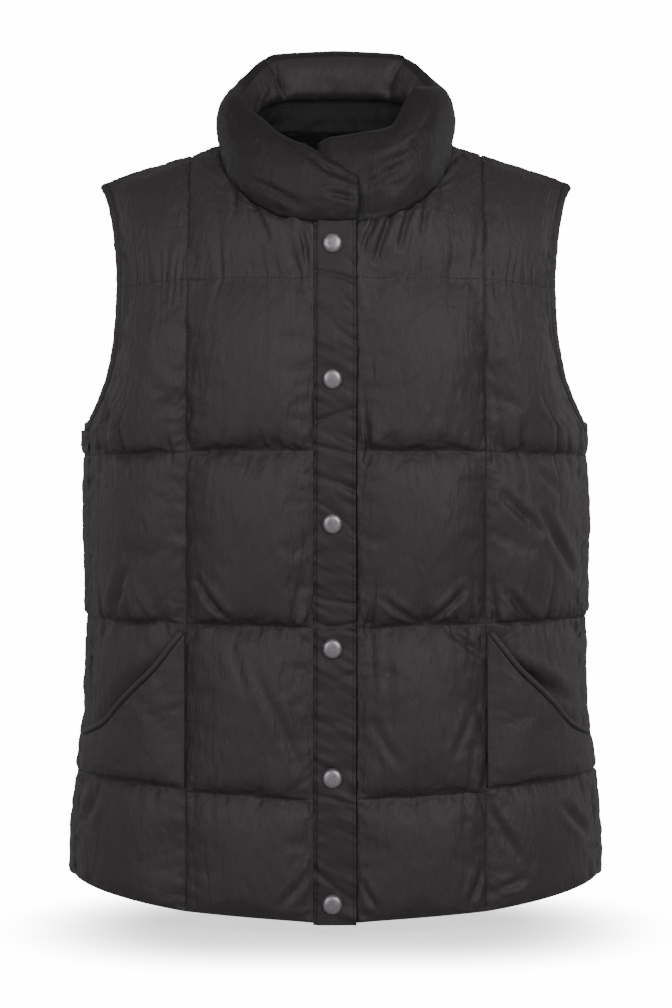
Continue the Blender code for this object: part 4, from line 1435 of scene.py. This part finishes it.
@dataclass
class Placket:
    """The snapped strip down the centre of the front, and the one under it."""

    form: WornForm
    rows: Rows
    stitch_x: float = -0.0172
    free_x: float = 0.0155
    under_x: float = -0.0168
    under_free_x: float = 0.0160
    under_wall: float = 0.0026
    wall: float = 0.0028
    drop: float = 0.0015
    top: float = -0.0725
    topstitch_inset: float = 0.0024
    pucker_height: float = 0.00115
    seam_sink: float = 0.00050
    row_sink: float = 0.0015
    edge_sink: float = 0.0022
    snap_sink: float = 0.0007
    columns: int = 26
    levels: int = 360
    snap_heights: tuple[float, ...] = (-0.0905, -0.1925, -0.3020, -0.3965, -0.4940, -0.5885)
    snap_x: float = -0.0027
    snap_radius: float = 0.0076
    snap_height: float = 0.0034

    def out(self, x: float, height: float, off: float) -> Vector:
        """A point in front of the form near the centre."""
        dome = self.form.dome_angle(x, height)
        point = self.form.point(Place(self.form.angle_at(x, height), height))
        return Vector((x, point.y, height)) + Vector((0, -math.cos(dome), math.sin(dome))) * off

    def pucker(self, x: float, height: float) -> float:
        """How far the outer face of the placket is drawn up or in by its stitching and its snaps."""
        from_seam = min(x - self.stitch_x, self.free_x - x) - self.topstitch_inset
        wave = 0.8 * pucker_wave(height + 0.5 * x, 61.0 if x < 0 else 67.0)
        wave += 0.9 * ripple(x * 50, height * 95, 1.9)
        slant = 0.25 + 1.6 * ripple(height * 11, 3.3)
        strength = clamp(0.75 + 1.5 * ripple(height * 17, x * 20, 8.8), 0.15, 1.6)
        wave -= 1.5 * strength * long_crease(height * 0.95 + slant * x, 63.0, 0.08)
        wave += 0.6 * pucker_wave(height * 1.2 - 0.3 * x, 65.0) * fading(x - self.stitch_x, 0.006)
        relief = self.pucker_height * wave * mix(0.55, 1.0, groove(from_seam, 0.0055))
        relief -= self.seam_sink * groove(from_seam, 0.0009)
        for row in self.rows[1:]:
            relief -= self.row_sink * groove(height - row[0] + 0.25 * x, 0.0017)
        relief -= self.edge_sink * smooth_step(0.0042, 0.0, x - self.stitch_x)
        for snap in self.snap_heights:
            gap = math.hypot(x - self.snap_x, height - snap)
            relief -= self.snap_sink * math.exp(-((gap / 0.0105) ** 4))
        return relief

    def strip(
        self, start: float, end: float, base: float, wall: float, drop: float, drawn: float,
    ) -> tuple[Grid, Grid]:
        """The outer and inner points of a strip.

        Args:
            start: Its edge at the viewer's left.
            end: Its edge at the viewer's right.
            base: How far its back lies in front of the form.
            wall: Its thickness.
            drop: How far it hangs below the fronts.
            drawn: How strongly its stitching shows.

        Returns:
            The outer and the inner grid.
        """
        bottom = self.rows[0][0] - drop
        outer, inner = [], []
        for level in range(self.levels + 1):
            height = mix(bottom, self.top, level / self.levels)
            high, low = [], []
            for column in range(self.columns + 1):
                x = mix(start, end, column / self.columns)
                edge = smooth_step(0.004, 0.0, self.free_x - x)
                sway = 0.0008 * ripple(height * 9.0, 5.5) * drawn * smooth_step(-0.012, 0.012, x)
                relief = self.pucker(x, height) * drawn
                lift = 0.0006 * edge * (1 + ripple(height * 22, 9.1)) * drawn
                high.append(self.out(x + sway, height, base + wall + relief + lift))
                low.append(self.out(x + sway, height, base + lift))
            outer.append(high)
            inner.append(low)
        return outer, inner

    def build(self, wardrobe: Wardrobe, thread: Stitching) -> None:
        """Makes both strips and the topstitching.

        Args:
            wardrobe: The finishes.
            thread: Where the topstitches go.
        """
        grids = self.strip(self.under_x, self.under_free_x, 0.0, self.under_wall, 0.0, 0.0)
        under = self._publish("under_placket", grids, 0.0006, wardrobe)
        length = self.top - self.rows[0][0]
        base = self.under_wall + 0.0003
        outer, inner = self.strip(self.stitch_x, self.free_x, base, self.wall, self.drop, 1.0)
        over = self._publish("placket", (outer, inner), 0.0009, wardrobe)
        ahead = Vector((0, -1, 0))
        span = self.free_x - self.stitch_x
        for inset in (self.topstitch_inset, span - self.topstitch_inset):
            place = inset / span * self.columns
            column, share = int(place), place - int(place)
            line = [mix(row[column], row[column + 1], share) for row in outer]
            thread.run(line, [ahead] * len(line))
        level = int(0.006 / length * self.levels)
        thread.run(outer[level][1:-1], [ahead] * (self.columns - 1))

    def _publish(
        self, node: str, grids: tuple[Grid, Grid], radius: float, wardrobe: Wardrobe,
    ) -> bpy.types.Object:
        """Makes one strip from its outer and inner points, with rounded edges."""
        wall = rounded(wall_between(*grids), radius)
        return publish(f"strip_{node}", wall, [wardrobe.trim, wardrobe.trim], "trim_cloth", [node])

    def build_snaps(self, wardrobe: Wardrobe) -> None:
        """Makes the domed snap caps."""
        profile = ShapeTable((
            # share of the radius, share of the height
            (0.00, 1.000), (0.30, 0.985), (0.55, 0.925), (0.75, 0.800),
            (0.88, 0.620), (0.96, 0.400), (1.00, 0.180),
        ))
        seat_off = self.under_wall + self.wall + 0.0003 - 0.0010
        for number, height in enumerate(self.snap_heights, 1):
            seat = self.out(self.snap_x, height, seat_off)
            up = (self.out(self.snap_x, height + 0.001, seat_off) - seat).normalized()
            out = Vector((1, 0, 0)).cross(up).normalized()
            mesh = bmesh.new()
            steps = 12
            outline = [
                (self.snap_radius * k / steps, self.snap_height * profile.read(k / steps))
                for k in range(steps + 1)
            ]
            outline += [
                (self.snap_radius * 1.03, self.snap_height * 0.10), (self.snap_radius * 1.02, -0.0004),
                (self.snap_radius * 0.90, -0.0006), (0.0, -0.0006),
            ]
            verts = [mesh.verts.new((r, 0, h + 0.0007)) for r, h in outline]
            edges = [mesh.edges.new(pair) for pair in zip(verts, verts[1:])]
            bmesh.ops.spin(
                mesh, geom=verts + edges, cent=(0, 0, 0), axis=(0, 0, 1), angle=2 * math.pi, steps=48,
                use_merge=True,
            )
            bmesh.ops.remove_doubles(mesh, verts=mesh.verts[:], dist=TINY)
            bmesh.ops.recalc_face_normals(mesh, faces=mesh.faces[:])
            turn = Matrix((Vector((1, 0, 0)), up, out)).transposed().to_4x4()
            bmesh.ops.transform(mesh, matrix=Matrix.Translation(seat) @ turn, verts=mesh.verts[:])
            publish(f"snap_cap_{number}", mesh, [wardrobe.metal], "snap_metal", [f"snap_{number}"])


@dataclass
class Collar:
    """The padded stand collar, whose right end laps over its left at the front."""

    half_width: float = 0.0785
    front: float = 0.0800
    back: float = 0.0700
    padding: float = 0.0150
    end_wall: float = 0.0042
    front_bulge: float = 0.0050
    side_bulge: float = 0.0045
    lap_out: float = 0.0030
    lap_in: float = 0.0080
    corner_drop: float = 0.0190
    start_drop: float = 0.0080
    crease_share: float = 0.40
    crease_depth: float = 0.0050
    roll_depth: float = 0.0068
    fold_depth: float = 0.0080
    fold_degrees: float = 139.5
    cloth_height: float = 0.065
    foot_waves: Gather = Gather(0.0012, 0.010, 51.0)
    foot_creases: Gather = Gather(0.0010, 0.024, 53.0)
    end_waves: Gather = Gather(0.0008, 0.010, 59.0)
    stations: int = 200
    steps: int = 22
    rim: ShapeTable = ShapeTable((
        # angle from the front, height at the wearer's right, height at the wearer's left
        (0, -0.0125, -0.0040),
        (15, -0.0100, 0.0000),
        (30, 0.0000, 0.0060),
        (42, 0.0110, 0.0240),
        (55, 0.0210, 0.0385),
        (78, 0.0385, 0.0430),
        (105, 0.0525, 0.0545),
        (130, 0.0710, 0.0725),
        (148, 0.0805, 0.0810),
        (180, 0.0845, 0.0845),
    ))
    creases: tuple[Crease, ...] = creases_at((
        (-78, 24, -50, -6, 4.2, 2.6), (-60, 12, -36, -10, 3.6, 1.8), (-26, -16, -4, -34, 4, 2.2),
        (-10, -30, 14, -40, 3.6, 2.2), (-6, -50, 14, -54, 3.6, 2.2), (22, -44, 50, -30, 4.4, 2.4),
        (34, -22, 66, -8, 4.4, 2.6), (62, -10, 74, 16, 4.2, 2.2), (20, -20, 36, -34, 3.6, 1.8),
        (-62, -40, -26, -60, 4.4, 2.2),
    ))
    feet: list[tuple[Vector, Vector]] = field(default_factory=list)
    turns: list[float] = field(default_factory=list)
    angles: list[float] = field(default_factory=list)
    sheet: ClothSheet | None = None

    @property
    def ends(self) -> tuple[float, float]:
        """The angles round the neck of the end beneath and of the end that laps over it."""
        return -math.asin(0.0140 / self.half_width), 2 * math.pi + math.asin(0.0155 / self.half_width)

    @property
    def crease_column(self) -> int:
        """The column of the sheet that lies in the crease inside the back."""
        return 2 * self.steps - round(self.crease_share * self.steps)

    def stand_on(self, front: QuiltedPanel, back: QuiltedPanel) -> None:
        """Finds the line of the neck seam, from the centre front to the centre back.

        Args:
            front: The front at the wearer's left.
            back: The back's half at the wearer's left.
        """
        edge = []
        for panel, order in ((front, 1), (back, -1)):
            start = next(k for k, up in enumerate(panel.heights()) if up >= 4 + panel.cut.neck_level)
            rows = zip(panel.inner[start:], panel.normals[start:], panel.walls[start:])
            edge += [(low[0], low[0] + out[0] * max(wall[0], 0.0045)) for low, out, wall in rows][::order]
        last = len(edge) - 1
        centre = Vector((0, 0, 0.05))
        for k, (low, high) in enumerate(edge):
            before, beyond = edge[max(0, k - 2)][0], edge[min(last, k + 2)][0]
            if k >= last - 1:
                beyond = Vector((-before.x, before.y, before.z))
            away = (beyond - before).cross(high - low).normalized()
            away *= 1 if away.dot(centre - low) > 0 else -1
            self.feet.append((low - away * 0.0009, high - away * 0.0006))
        self.turns = [math.atan2(low.x / 0.088, -low.y / 0.0885) for low, _ in self.feet]
        self.turns[0], self.turns[-1] = 0.0, math.pi

    def foot(self, angle: float) -> tuple[Vector, Vector]:
        """The inner and the outer foot at an angle round the neck."""
        side = 1 if math.sin(angle) >= 0 else -1
        target = math.acos(clamp(math.cos(angle), -1.0, 1.0))
        step = max(k for k in range(len(self.feet) - 1) if self.turns[k] <= target or k == 0)
        span = self.turns[step + 1] - self.turns[step]
        share = clamp((target - self.turns[step]) / max(span, 1e-9))
        pair = [mix(self.feet[step][k], self.feet[step + 1][k], share) for k in (0, 1)]
        if step == 0:
            for point in pair:
                point.x = self.half_width * math.sin(target)
        return tuple(Vector((side * point.x, point.y, point.z)) for point in pair)

    def rim_point(self, angle: float, corner: float) -> Vector:
        """The middle of the rim at an angle round the neck from the front."""
        degrees = math.degrees(math.acos(clamp(math.cos(angle), -1.0, 1.0)))
        near_front = degrees < 25
        left = angle < math.pi if near_front else math.sin(angle) > 0
        height = self.rim.read(degrees, 2 if left else 1)
        behind = math.cos(angle) < 0
        power = 2 / 2.7 if behind else 2 / 2.1
        x = self.half_width * math.copysign(abs(math.sin(angle)) ** power, math.sin(angle))
        y = (self.back if behind else -self.front) * abs(math.cos(angle)) ** power
        return Vector((x, y, height - self.corner_drop * corner))

    def _loop(self, angle: float) -> list[Vector]:
        """The cloth at an angle round the neck: up the outside, over the rim and down the inside."""
        start, end = self.ends
        near_start = clamp(1 - (angle - start) / math.radians(34))
        near_end = clamp(1 - (end - angle) / math.radians(34))
        corner = clamp(1 - (end - angle) / math.radians(27))
        lap = self.lap_out * near_end**0.5 - self.lap_in * near_start**0.5
        foot_in, foot_out = self.foot(angle)
        rim = self.rim_point(angle, corner)
        rim.z -= self.start_drop * clamp(angle / start) ** 1.5
        outward = Vector((math.sin(angle), -math.cos(angle), 0))
        padded = self.padding * smooth_step(math.radians(20), math.radians(46), angle - start)
        padded *= smooth_step(math.radians(5), math.radians(36), end - angle)
        bulge = mix(self.front_bulge, self.side_bulge, abs(math.sin(angle)))
        top = rim + outward * (self.end_wall / 2 + padded * 0.36)
        behind = smooth_step(0.2, 0.8, -math.cos(angle))
        turned = math.degrees(math.acos(clamp(math.cos(angle), -1, 1))) - self.fold_degrees
        outside, inside = [foot_out.copy()], [foot_in.copy()]
        for step in range(1, self.steps + 1):
            share = step / self.steps
            wall = self.end_wall + padded * math.sin(math.pi * mix(0.04, 0.80, share)) ** 0.7
            rounding = 1 - math.sqrt(clamp(1 - max(0.0, (share - 0.70) / 0.30) ** 2))
            bow = bulge * math.sin(math.pi * share) + lap - wall * 0.5 * rounding
            out = mix(foot_out, top, share**1.4) + outward * bow
            out.z = mix(foot_out.z, top.z, share)
            sunk = -self.crease_depth * groove(share - self.crease_share, 0.034) * behind
            sunk -= self.fold_depth * groove(turned, 3.6) * smooth_step(0.36, 0.56, share)
            sunk -= self.roll_depth * smooth_step(0.42, 0.36, share) * smooth_step(0.0, 0.08, share) * behind
            outside.append(out)
            inside.append(out - outward * (wall * (1 - rounding) + sunk))
        loop = outside + inside[-2::-1]
        for k, point in enumerate(loop[1:-1], 1):
            lean = ripple(angle * 7.3, k * 0.55, 2.2) + 0.6 * ripple(angle * 21.0, k * 0.9, 8.4)
            point += outward * 0.0007 * lean * (1 if k <= self.steps else -1)
        return loop

    def lay_out(self) -> ClothSheet:
        """Works out the collar's sheet, from its outer foot over the rim to its inner foot."""
        start, end = self.ends
        self.angles = [mix(start, end, k / self.stations) for k in range(self.stations + 1)]
        rows = [self._loop(angle) for angle in self.angles]
        last, count = self.stations, 2 * self.steps

        def pinned(level: int, column: int) -> float:
            """Whether a point is held by the neck seam, the ends or the crease inside the back."""
            if column in (0, count) or level in (0, last):
                return 1.0
            behind = -math.cos(self.angles[level])
            return 0.9 if column == self.crease_column and behind > 0.45 else 0.0

        def slack(level: int, column: int) -> float:
            """How much slack the cloth has: most beside the neck seam."""
            foot = min(column, count - column) / self.steps
            return clamp(0.12 + 0.75 * groove(foot, 0.22))

        self.sheet = ClothSheet("collar", rows, pinned, slack, reach=0.006, rise=0.25)
        return self.sheet

    def finished(self) -> Grid:
        """The relaxed collar with its creases, its lapped ends kept clear of each other."""
        rows = []
        start, end = self.angles[0], self.angles[-1]
        count = len(self.sheet.points[0]) - 1
        for angle, before, after in zip(self.angles, self.sheet.points, self.sheet.relaxed):
            away = min(angle - start, end - angle)
            keep = mix(0.10, 1.0, smooth_step(math.radians(10), math.radians(48), away))
            outward = Vector((math.sin(angle), -math.cos(angle), 0))
            line = []
            for k, (first, relaxed) in enumerate(zip(before, after)):
                moved = first + (relaxed - first) * keep
                foot = min(k, count - k) / self.steps
                face = 1.0 if k <= self.steps else -1.0
                around, above = angle * self.half_width, foot * self.cloth_height
                lift = self.foot_waves.waves(around, above)
                lift += self.foot_creases.creases(around + 0.2 * above, above)
                lift += 0.00035 * crinkle(around, moved.z, 57.0)
                lift += self.end_waves.waves(moved.z, (end - angle) * self.half_width)
                if face > 0 and moved.y < 0:
                    lift += sum(crease.press(moved) for crease in self.creases)
                fade = clamp(foot / 0.05) * clamp(away * self.half_width / 0.003)
                line.append(moved + outward * face * lift * fade)
            rows.append(line)
        return rows

    def build(self, wardrobe: Wardrobe, thread: Stitching) -> bpy.types.Object:
        """Makes the collar.

        Args:
            wardrobe: The finishes.
            thread: Where its stitches go.

        Returns:
            The collar.
        """
        rows = self.finished()
        mesh = tube_mesh(rows, False)
        inside = {tuple(point): k for row in rows for k, point in enumerate(row)}
        for face in mesh.faces:
            least = min(inside.get(tuple(vertex.co), 0) for vertex in face.verts)
            # Outside faces take the collar finish, inside faces above the crease the shell finish, and
            # inside faces below it the near-black finish that paints the shade of the neck's hollow.
            face.material_index = 2 if least >= self.crease_column else 1 if least > self.steps + 1 else 0
        finishes = [wardrobe.collar, wardrobe.shell, wardrobe.neck_hollow_shade]
        piece = publish("padded_collar", mesh, finishes, "quilted_shell", ["collar"])
        inset = 3
        out = Vector((0, -1, 0))
        line = [row for row in rows[-1 - inset][2:self.steps - 1]]
        thread.run(line, [out] * len(line))
        return piece


@dataclass(frozen=True)
class Studio:
    """The pale floor, the soft lights and the camera."""

    floor_height: float = -0.6130
    camera_height: float = -0.246
    camera_distance: float = 2.0
    lens: float = 89.3
    frame_height: int = 1008
    horizon: float = 450.0
    paper_glow: float = 15.0
    room_light: float = 0.16
    # The painted shadow round the hem: its least share of the glow, where it starts fading, where it ends,
    # and the bar it rounds.
    shade_floor: float = 0.085
    shade_start: float = 0.045
    shade_reach: float = 0.195
    bar_half_length: float = 0.080
    bar_front: float = 0.070

    def build(self) -> None:
        """Makes the floor, the lights and the camera."""
        self._floor()
        self._lights()
        self._camera()

    def _floor(self) -> None:
        """A pale floor that sweeps up behind the vest."""
        mesh = bmesh.new()
        bmesh.ops.create_grid(mesh, x_segments=1, y_segments=1, size=1.0)
        bmesh.ops.scale(mesh, vec=(9, 5, 1), verts=mesh.verts[:])
        bmesh.ops.translate(mesh, vec=(0, -1.6, self.floor_height), verts=mesh.verts[:])
        mesh.edges.ensure_lookup_table()
        far = [edge for edge in mesh.edges if all(v.co.y > 3 for v in edge.verts)]
        bmesh.ops.spin(
            mesh, geom=far + [v for v in far[0].verts], cent=(0, 3.4, self.floor_height + 1.4),
            axis=(1, 0, 0), angle=math.pi / 2, steps=24,
        )
        top = max(v.co.z for v in mesh.verts)
        rim = [edge for edge in mesh.edges if all(v.co.z > top - 1e-4 for v in edge.verts)]
        raised = bmesh.ops.extrude_edge_only(mesh, edges=rim)
        lifted = [item for item in raised["geom"] if isinstance(item, bmesh.types.BMVert)]
        bmesh.ops.translate(mesh, vec=(0, 0, 4.0), verts=lifted)
        bmesh.ops.recalc_face_normals(mesh, faces=mesh.faces[:])
        data = mesh_data("studio_floor", mesh)
        data.shade_smooth()
        data.materials.append(self._paper())
        floor = placed("studio_floor", data)

    def _paper(self) -> bpy.types.Material:
        """Pale paper that glows evenly for the camera, save in a painted shadow round the hem."""
        material, sheet, shader = ShaderSheet.of_material("pale_paper")
        sheet.give(shader, {
            "Base Color": (0.62, 0.62, 0.62, 1), "Roughness": 0.9, "Emission Color": (1, 1, 1, 1),
        })
        path = sheet.add("ShaderNodeLightPath", "seen by the camera")
        # The camera's glow is dimmed round the hem by a painted shadow, not by a cast one.
        glow = sheet.add("ShaderNodeMath", "glow with painted shadow", operation="MULTIPLY")
        lit = sheet.add("ShaderNodeMath", "glow", {1: self.paper_glow}, operation="MULTIPLY")
        sheet.link(path, "Is Camera Ray", glow, 0)
        sheet.link(self._painted_hem_shadow(sheet), 0, glow, 1)
        sheet.link(glow, 0, lit, 0)
        sheet.link(lit, 0, shader, "Emission Strength")
        return material

    def _painted_hem_shadow(self, sheet: ShaderSheet) -> bpy.types.Node:
        """Adds a painted soft shadow round the hem's footprint, a rounded bar, to the floor's nodes.

        Args:
            sheet: The floor's nodes.

        Returns:
            The node whose value is 1 in the open and the least under the hem.
        """

        def step(
            label: str, operation: str, first: tuple[bpy.types.Node, str | int], second: float = 0.0,
        ) -> bpy.types.Node:
            """A sum of one node's output, given as the node and its socket, and one number."""
            node = sheet.add("ShaderNodeMath", label, {1: second}, operation=operation)
            sheet.link(*first, node, 0)
            return node

        where = sheet.add("ShaderNodeTexCoord", "place on the floor")
        axes = sheet.add("ShaderNodeSeparateXYZ", "across and along")
        sheet.link(where, "Object", axes, 0)
        beside = step("off centre", "ABSOLUTE", (axes, "X"))
        beside = step("past the bar", "SUBTRACT", (beside, 0), self.bar_half_length)
        beside = step("beside the bar", "MAXIMUM", (beside, 0))
        around = sheet.add("ShaderNodeCombineXYZ", "from the bar")
        sheet.link(beside, 0, around, "X")
        along = step("behind the bar", "ADD", (axes, "Y"), self.bar_front)
        sheet.link(along, 0, around, "Y")
        away = sheet.add("ShaderNodeVectorMath", "away from the bar", operation="LENGTH")
        sheet.link(around, 0, away, 0)
        ends = {"From Min": self.shade_start, "From Max": self.shade_reach, "To Min": 1.0, "To Max": 0.0}
        falloff = sheet.add("ShaderNodeMapRange", "soft edge", interpolation_type="SMOOTHSTEP")
        sheet.give(falloff, ends)
        sheet.link(away, "Value", falloff, "Value")
        shade = sheet.add("ShaderNodeMath", "shade depth", {0: self.shade_floor}, operation="POWER")
        sheet.link(falloff, 0, shade, 1)
        return shade

    def _lights(self) -> None:
        """Large soft lights in front, above and at both sides, in a pale room."""
        target = Vector((0, 0, -0.25))
        for name, place, size, energy in (
            ("key", (1.6, -2.9, 1.35), 2.0, 79.0),
            ("fill", (-1.9, -2.9, 1.0), 2.2, 53.0),
            ("top", (0.0, -0.6, 2.2), 1.6, 4.5),
            ("side_left", (-2.1, 0.6, 0.3), 1.4, 8.0),
            ("side_right", (2.1, 0.6, 0.3), 1.4, 11.0),
        ):
            lamp = bpy.data.lights.new(name, "AREA")
            lamp.size = size
            lamp.energy = energy
            item = placed(name, lamp)
            item.location = place
            item.rotation_euler = (target - Vector(place)).to_track_quat("-Z", "Y").to_euler()
        world = bpy.data.worlds.new("pale_room")
        world.use_nodes = True
        light = {"Color": (1, 1, 1, 1), "Strength": self.room_light}
        ShaderSheet(world.node_tree).give(world.node_tree.nodes["Background"], light)
        bpy.context.scene.world = world

    def _camera(self) -> None:
        """A level camera at the photograph's height and distance."""
        data = bpy.data.cameras.new("camera")
        data.sensor_width = 36.0
        data.lens = self.lens
        data.shift_y = (self.horizon - self.frame_height / 2) / self.frame_height
        data.clip_end = 50.0
        camera = placed("camera", data)
        camera.location = (0.0, -self.camera_distance, self.camera_height)
        camera.rotation_euler = (math.pi / 2, 0, 0)
        bpy.context.scene.camera = camera


@dataclass
class Vest:
    """The whole vest, panel by panel."""

    form: WornForm = field(default_factory=WornForm)
    bench: ClothBench = field(default_factory=ClothBench)
    front_rows: Rows = (
        # centre, quilt line, side, from the hem up to the yoke
        (-0.6025, -0.5965, -0.5795),
        (-0.5100, -0.5055, -0.4985),
        (-0.3806, -0.3780, -0.3770),
        (-0.2460, -0.2465, -0.2500),
        (-0.1150, -0.1148, -0.1200),
    )
    back_rows: Rows = (
        (-0.5990, -0.5955, -0.5795),
        (-0.5080, -0.5050, -0.4985),
        (-0.3800, -0.3780, -0.3770),
        (-0.2460, -0.2465, -0.2500),
        (-0.1150, -0.1150, -0.1200),
    )

    def panels(self) -> tuple[dict[Side, QuiltedPanel], dict[Side, QuiltedPanel], dict[Side, Pocket]]:
        """The fronts, the back's halves and the pockets."""
        creases = {
            Side.RIGHT: creases_at((
                (-103, -346, -81, -374, 4.2, 4), (-156, -340, -166, -372, 5.5, 3.6),
                (-79, -390, -66, -430, 5.5, 1.8), (-66, -402, -22, -494, 6, 1.8),
                (-182, -512, -192, -536, 5.5, 2.6), (-199, -528, -187, -542, 5, 2.2),
                (-144, -486, -153, -500, 4.5, 2), (-22, -568, -41, -588, 5, 2),
                (-64.2, -53.5, -50.4, -85.6, 3.4, 3.4), (-42.8, -67.2, -27.5, -79.4, 3.2, 2.8),
                (-76.4, -39.7, -74.9, -66.5, 3.4, 3), (-27.5, -74.1, -19.9, -108.5, 3.4, 2.6),
                (-174, -208, -171, -231, 4.5, 2.2), (-110, -213, -114, -233, 4.5, 2),
            )),
            Side.LEFT: creases_at((
                (71, -376, 95, -352, 4.2, 3.6), (126, -282, 150, -308, 5, 3.6),
                (152, -295, 177, -340, 5.5, 3.6), (152, -254, 163, -277, 5, 2.4),
                (38, -388, 40, -460, 5.5, 1.6), (103, -428, 126, -500, 6, 2),
                (43.5, -58.8, 29.8, -102.4, 3.4, 3.4), (58.1, -51.2, 47.4, -93.2, 3.4, 3.2),
                (71.8, -38.2, 64.2, -81.7, 3.4, 3.2), (32.1, -64.2, 19.9, -93.2, 3.2, 3),
                (81.7, -28.3, 76.4, -66.5, 4, 1.8), (172, -522, 196, -548, 5, 3),
                (35.5, -358.5, 59, -376.7, 4, 3), (85.1, -384.3, 108.7, -402.6, 4.2, 2.6),
                (103.4, -442, 88, -476.3, 5, 1.8), (27.4, -452.7, 45.6, -483.9, 5, 1.8),
                (111.6, -512.8, 135.8, -555, 4.8, 2.4), (112.5, -560, 98.1, -591.7, 4.8, 2.4),
                (17, -570.5, 30.4, -591, 4.2, 2.2), (121.6, -580.5, 140.2, -572.8, 4.4, 2.6),
                (128.6, -355, 144.8, -376, 4.4, 3), (132, -412, 176, -440, 8, 4),
            )),
        }
        back_creases = creases_at((
            (-150, -280, -125, -345, 8.5, 3.2), (60, -395, 90, -470, 8.5, 3),
            (135, -420, 168, -470, 8.5, 3.2), (-70, -130, -48, -205, 8.5, 2.8),
            (-105, -520, -130, -575, 8, 2.8),
        ))
        starts = {Side.RIGHT: 0.0170, Side.LEFT: 0.0158}
        pockets = {Side.RIGHT: Pocket(Side.RIGHT, 0.0012), Side.LEFT: Pocket(Side.LEFT, 0.0030)}
        fronts, backs = {}, {}
        for side in Side:
            name = f"front_{side.word}"
            cut = PanelCut(self.form, False, starts[side], self.front_rows)
            fronts[side] = QuiltedPanel(name, cut, side, name, creases[side], pocket=pockets[side])
            cut = PanelCut(self.form, True, 0.0, self.back_rows)
            backs[side] = QuiltedPanel(
                f"back_{side.word}", cut, side, "back", back_creases, columns_each=(58, 72),
            )
        return fronts, backs, pockets

    def build(self, wardrobe: Wardrobe) -> None:
        """Makes every piece of the vest.

        Args:
            wardrobe: The finishes.
        """
        fronts, backs, pockets = self.panels()
        collar = Collar()
        sheets = [(panel.lay_out(), False) for panel in fronts.values()]
        sheets += [(panel.lay_out(), True) for panel in backs.values()]
        sheets += [(pocket.lay_out(fronts[side]), side is Side.RIGHT) for side, pocket in pockets.items()]
        collar.stand_on(fronts[Side.LEFT], backs[Side.LEFT])
        sheets.append((collar.lay_out(), True))
        LOG.info("relaxing %d sheets of cloth", len(sheets))
        self.bench.relax(sheets)

        quilting = Stitching("quilting_thread")
        edging = Stitching("topstitching_thread", pitch=0.0029, length=0.0021)
        for panel in fronts.values():
            panel.build(wardrobe)
        backs[Side.RIGHT].build(wardrobe, backs[Side.LEFT])
        for panel in (*fronts.values(), *backs.values()):
            panel.sew(quilting)
        for pocket in pockets.values():
            pocket.build(wardrobe)
            pocket.build_welt(wardrobe, edging)
        for side in Side:
            ArmholeBinding(side).build(fronts[side], backs[side], wardrobe, edging)
        placket = Placket(self.form, self.front_rows)
        placket.build(wardrobe, edging)
        placket.build_snaps(wardrobe)
        collar.build(wardrobe, edging)
        quilting.build(wardrobe.thread, "trim_cloth")
        edging.build(wardrobe.thread, "trim_cloth")


def main() -> None:
    """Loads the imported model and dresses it."""
    logging.basicConfig(level=logging.INFO, format="%(name)s %(message)s")
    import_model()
    Studio().build()
    Vest().build(Wardrobe.dyed())


if __name__ == "__main__":
    main()
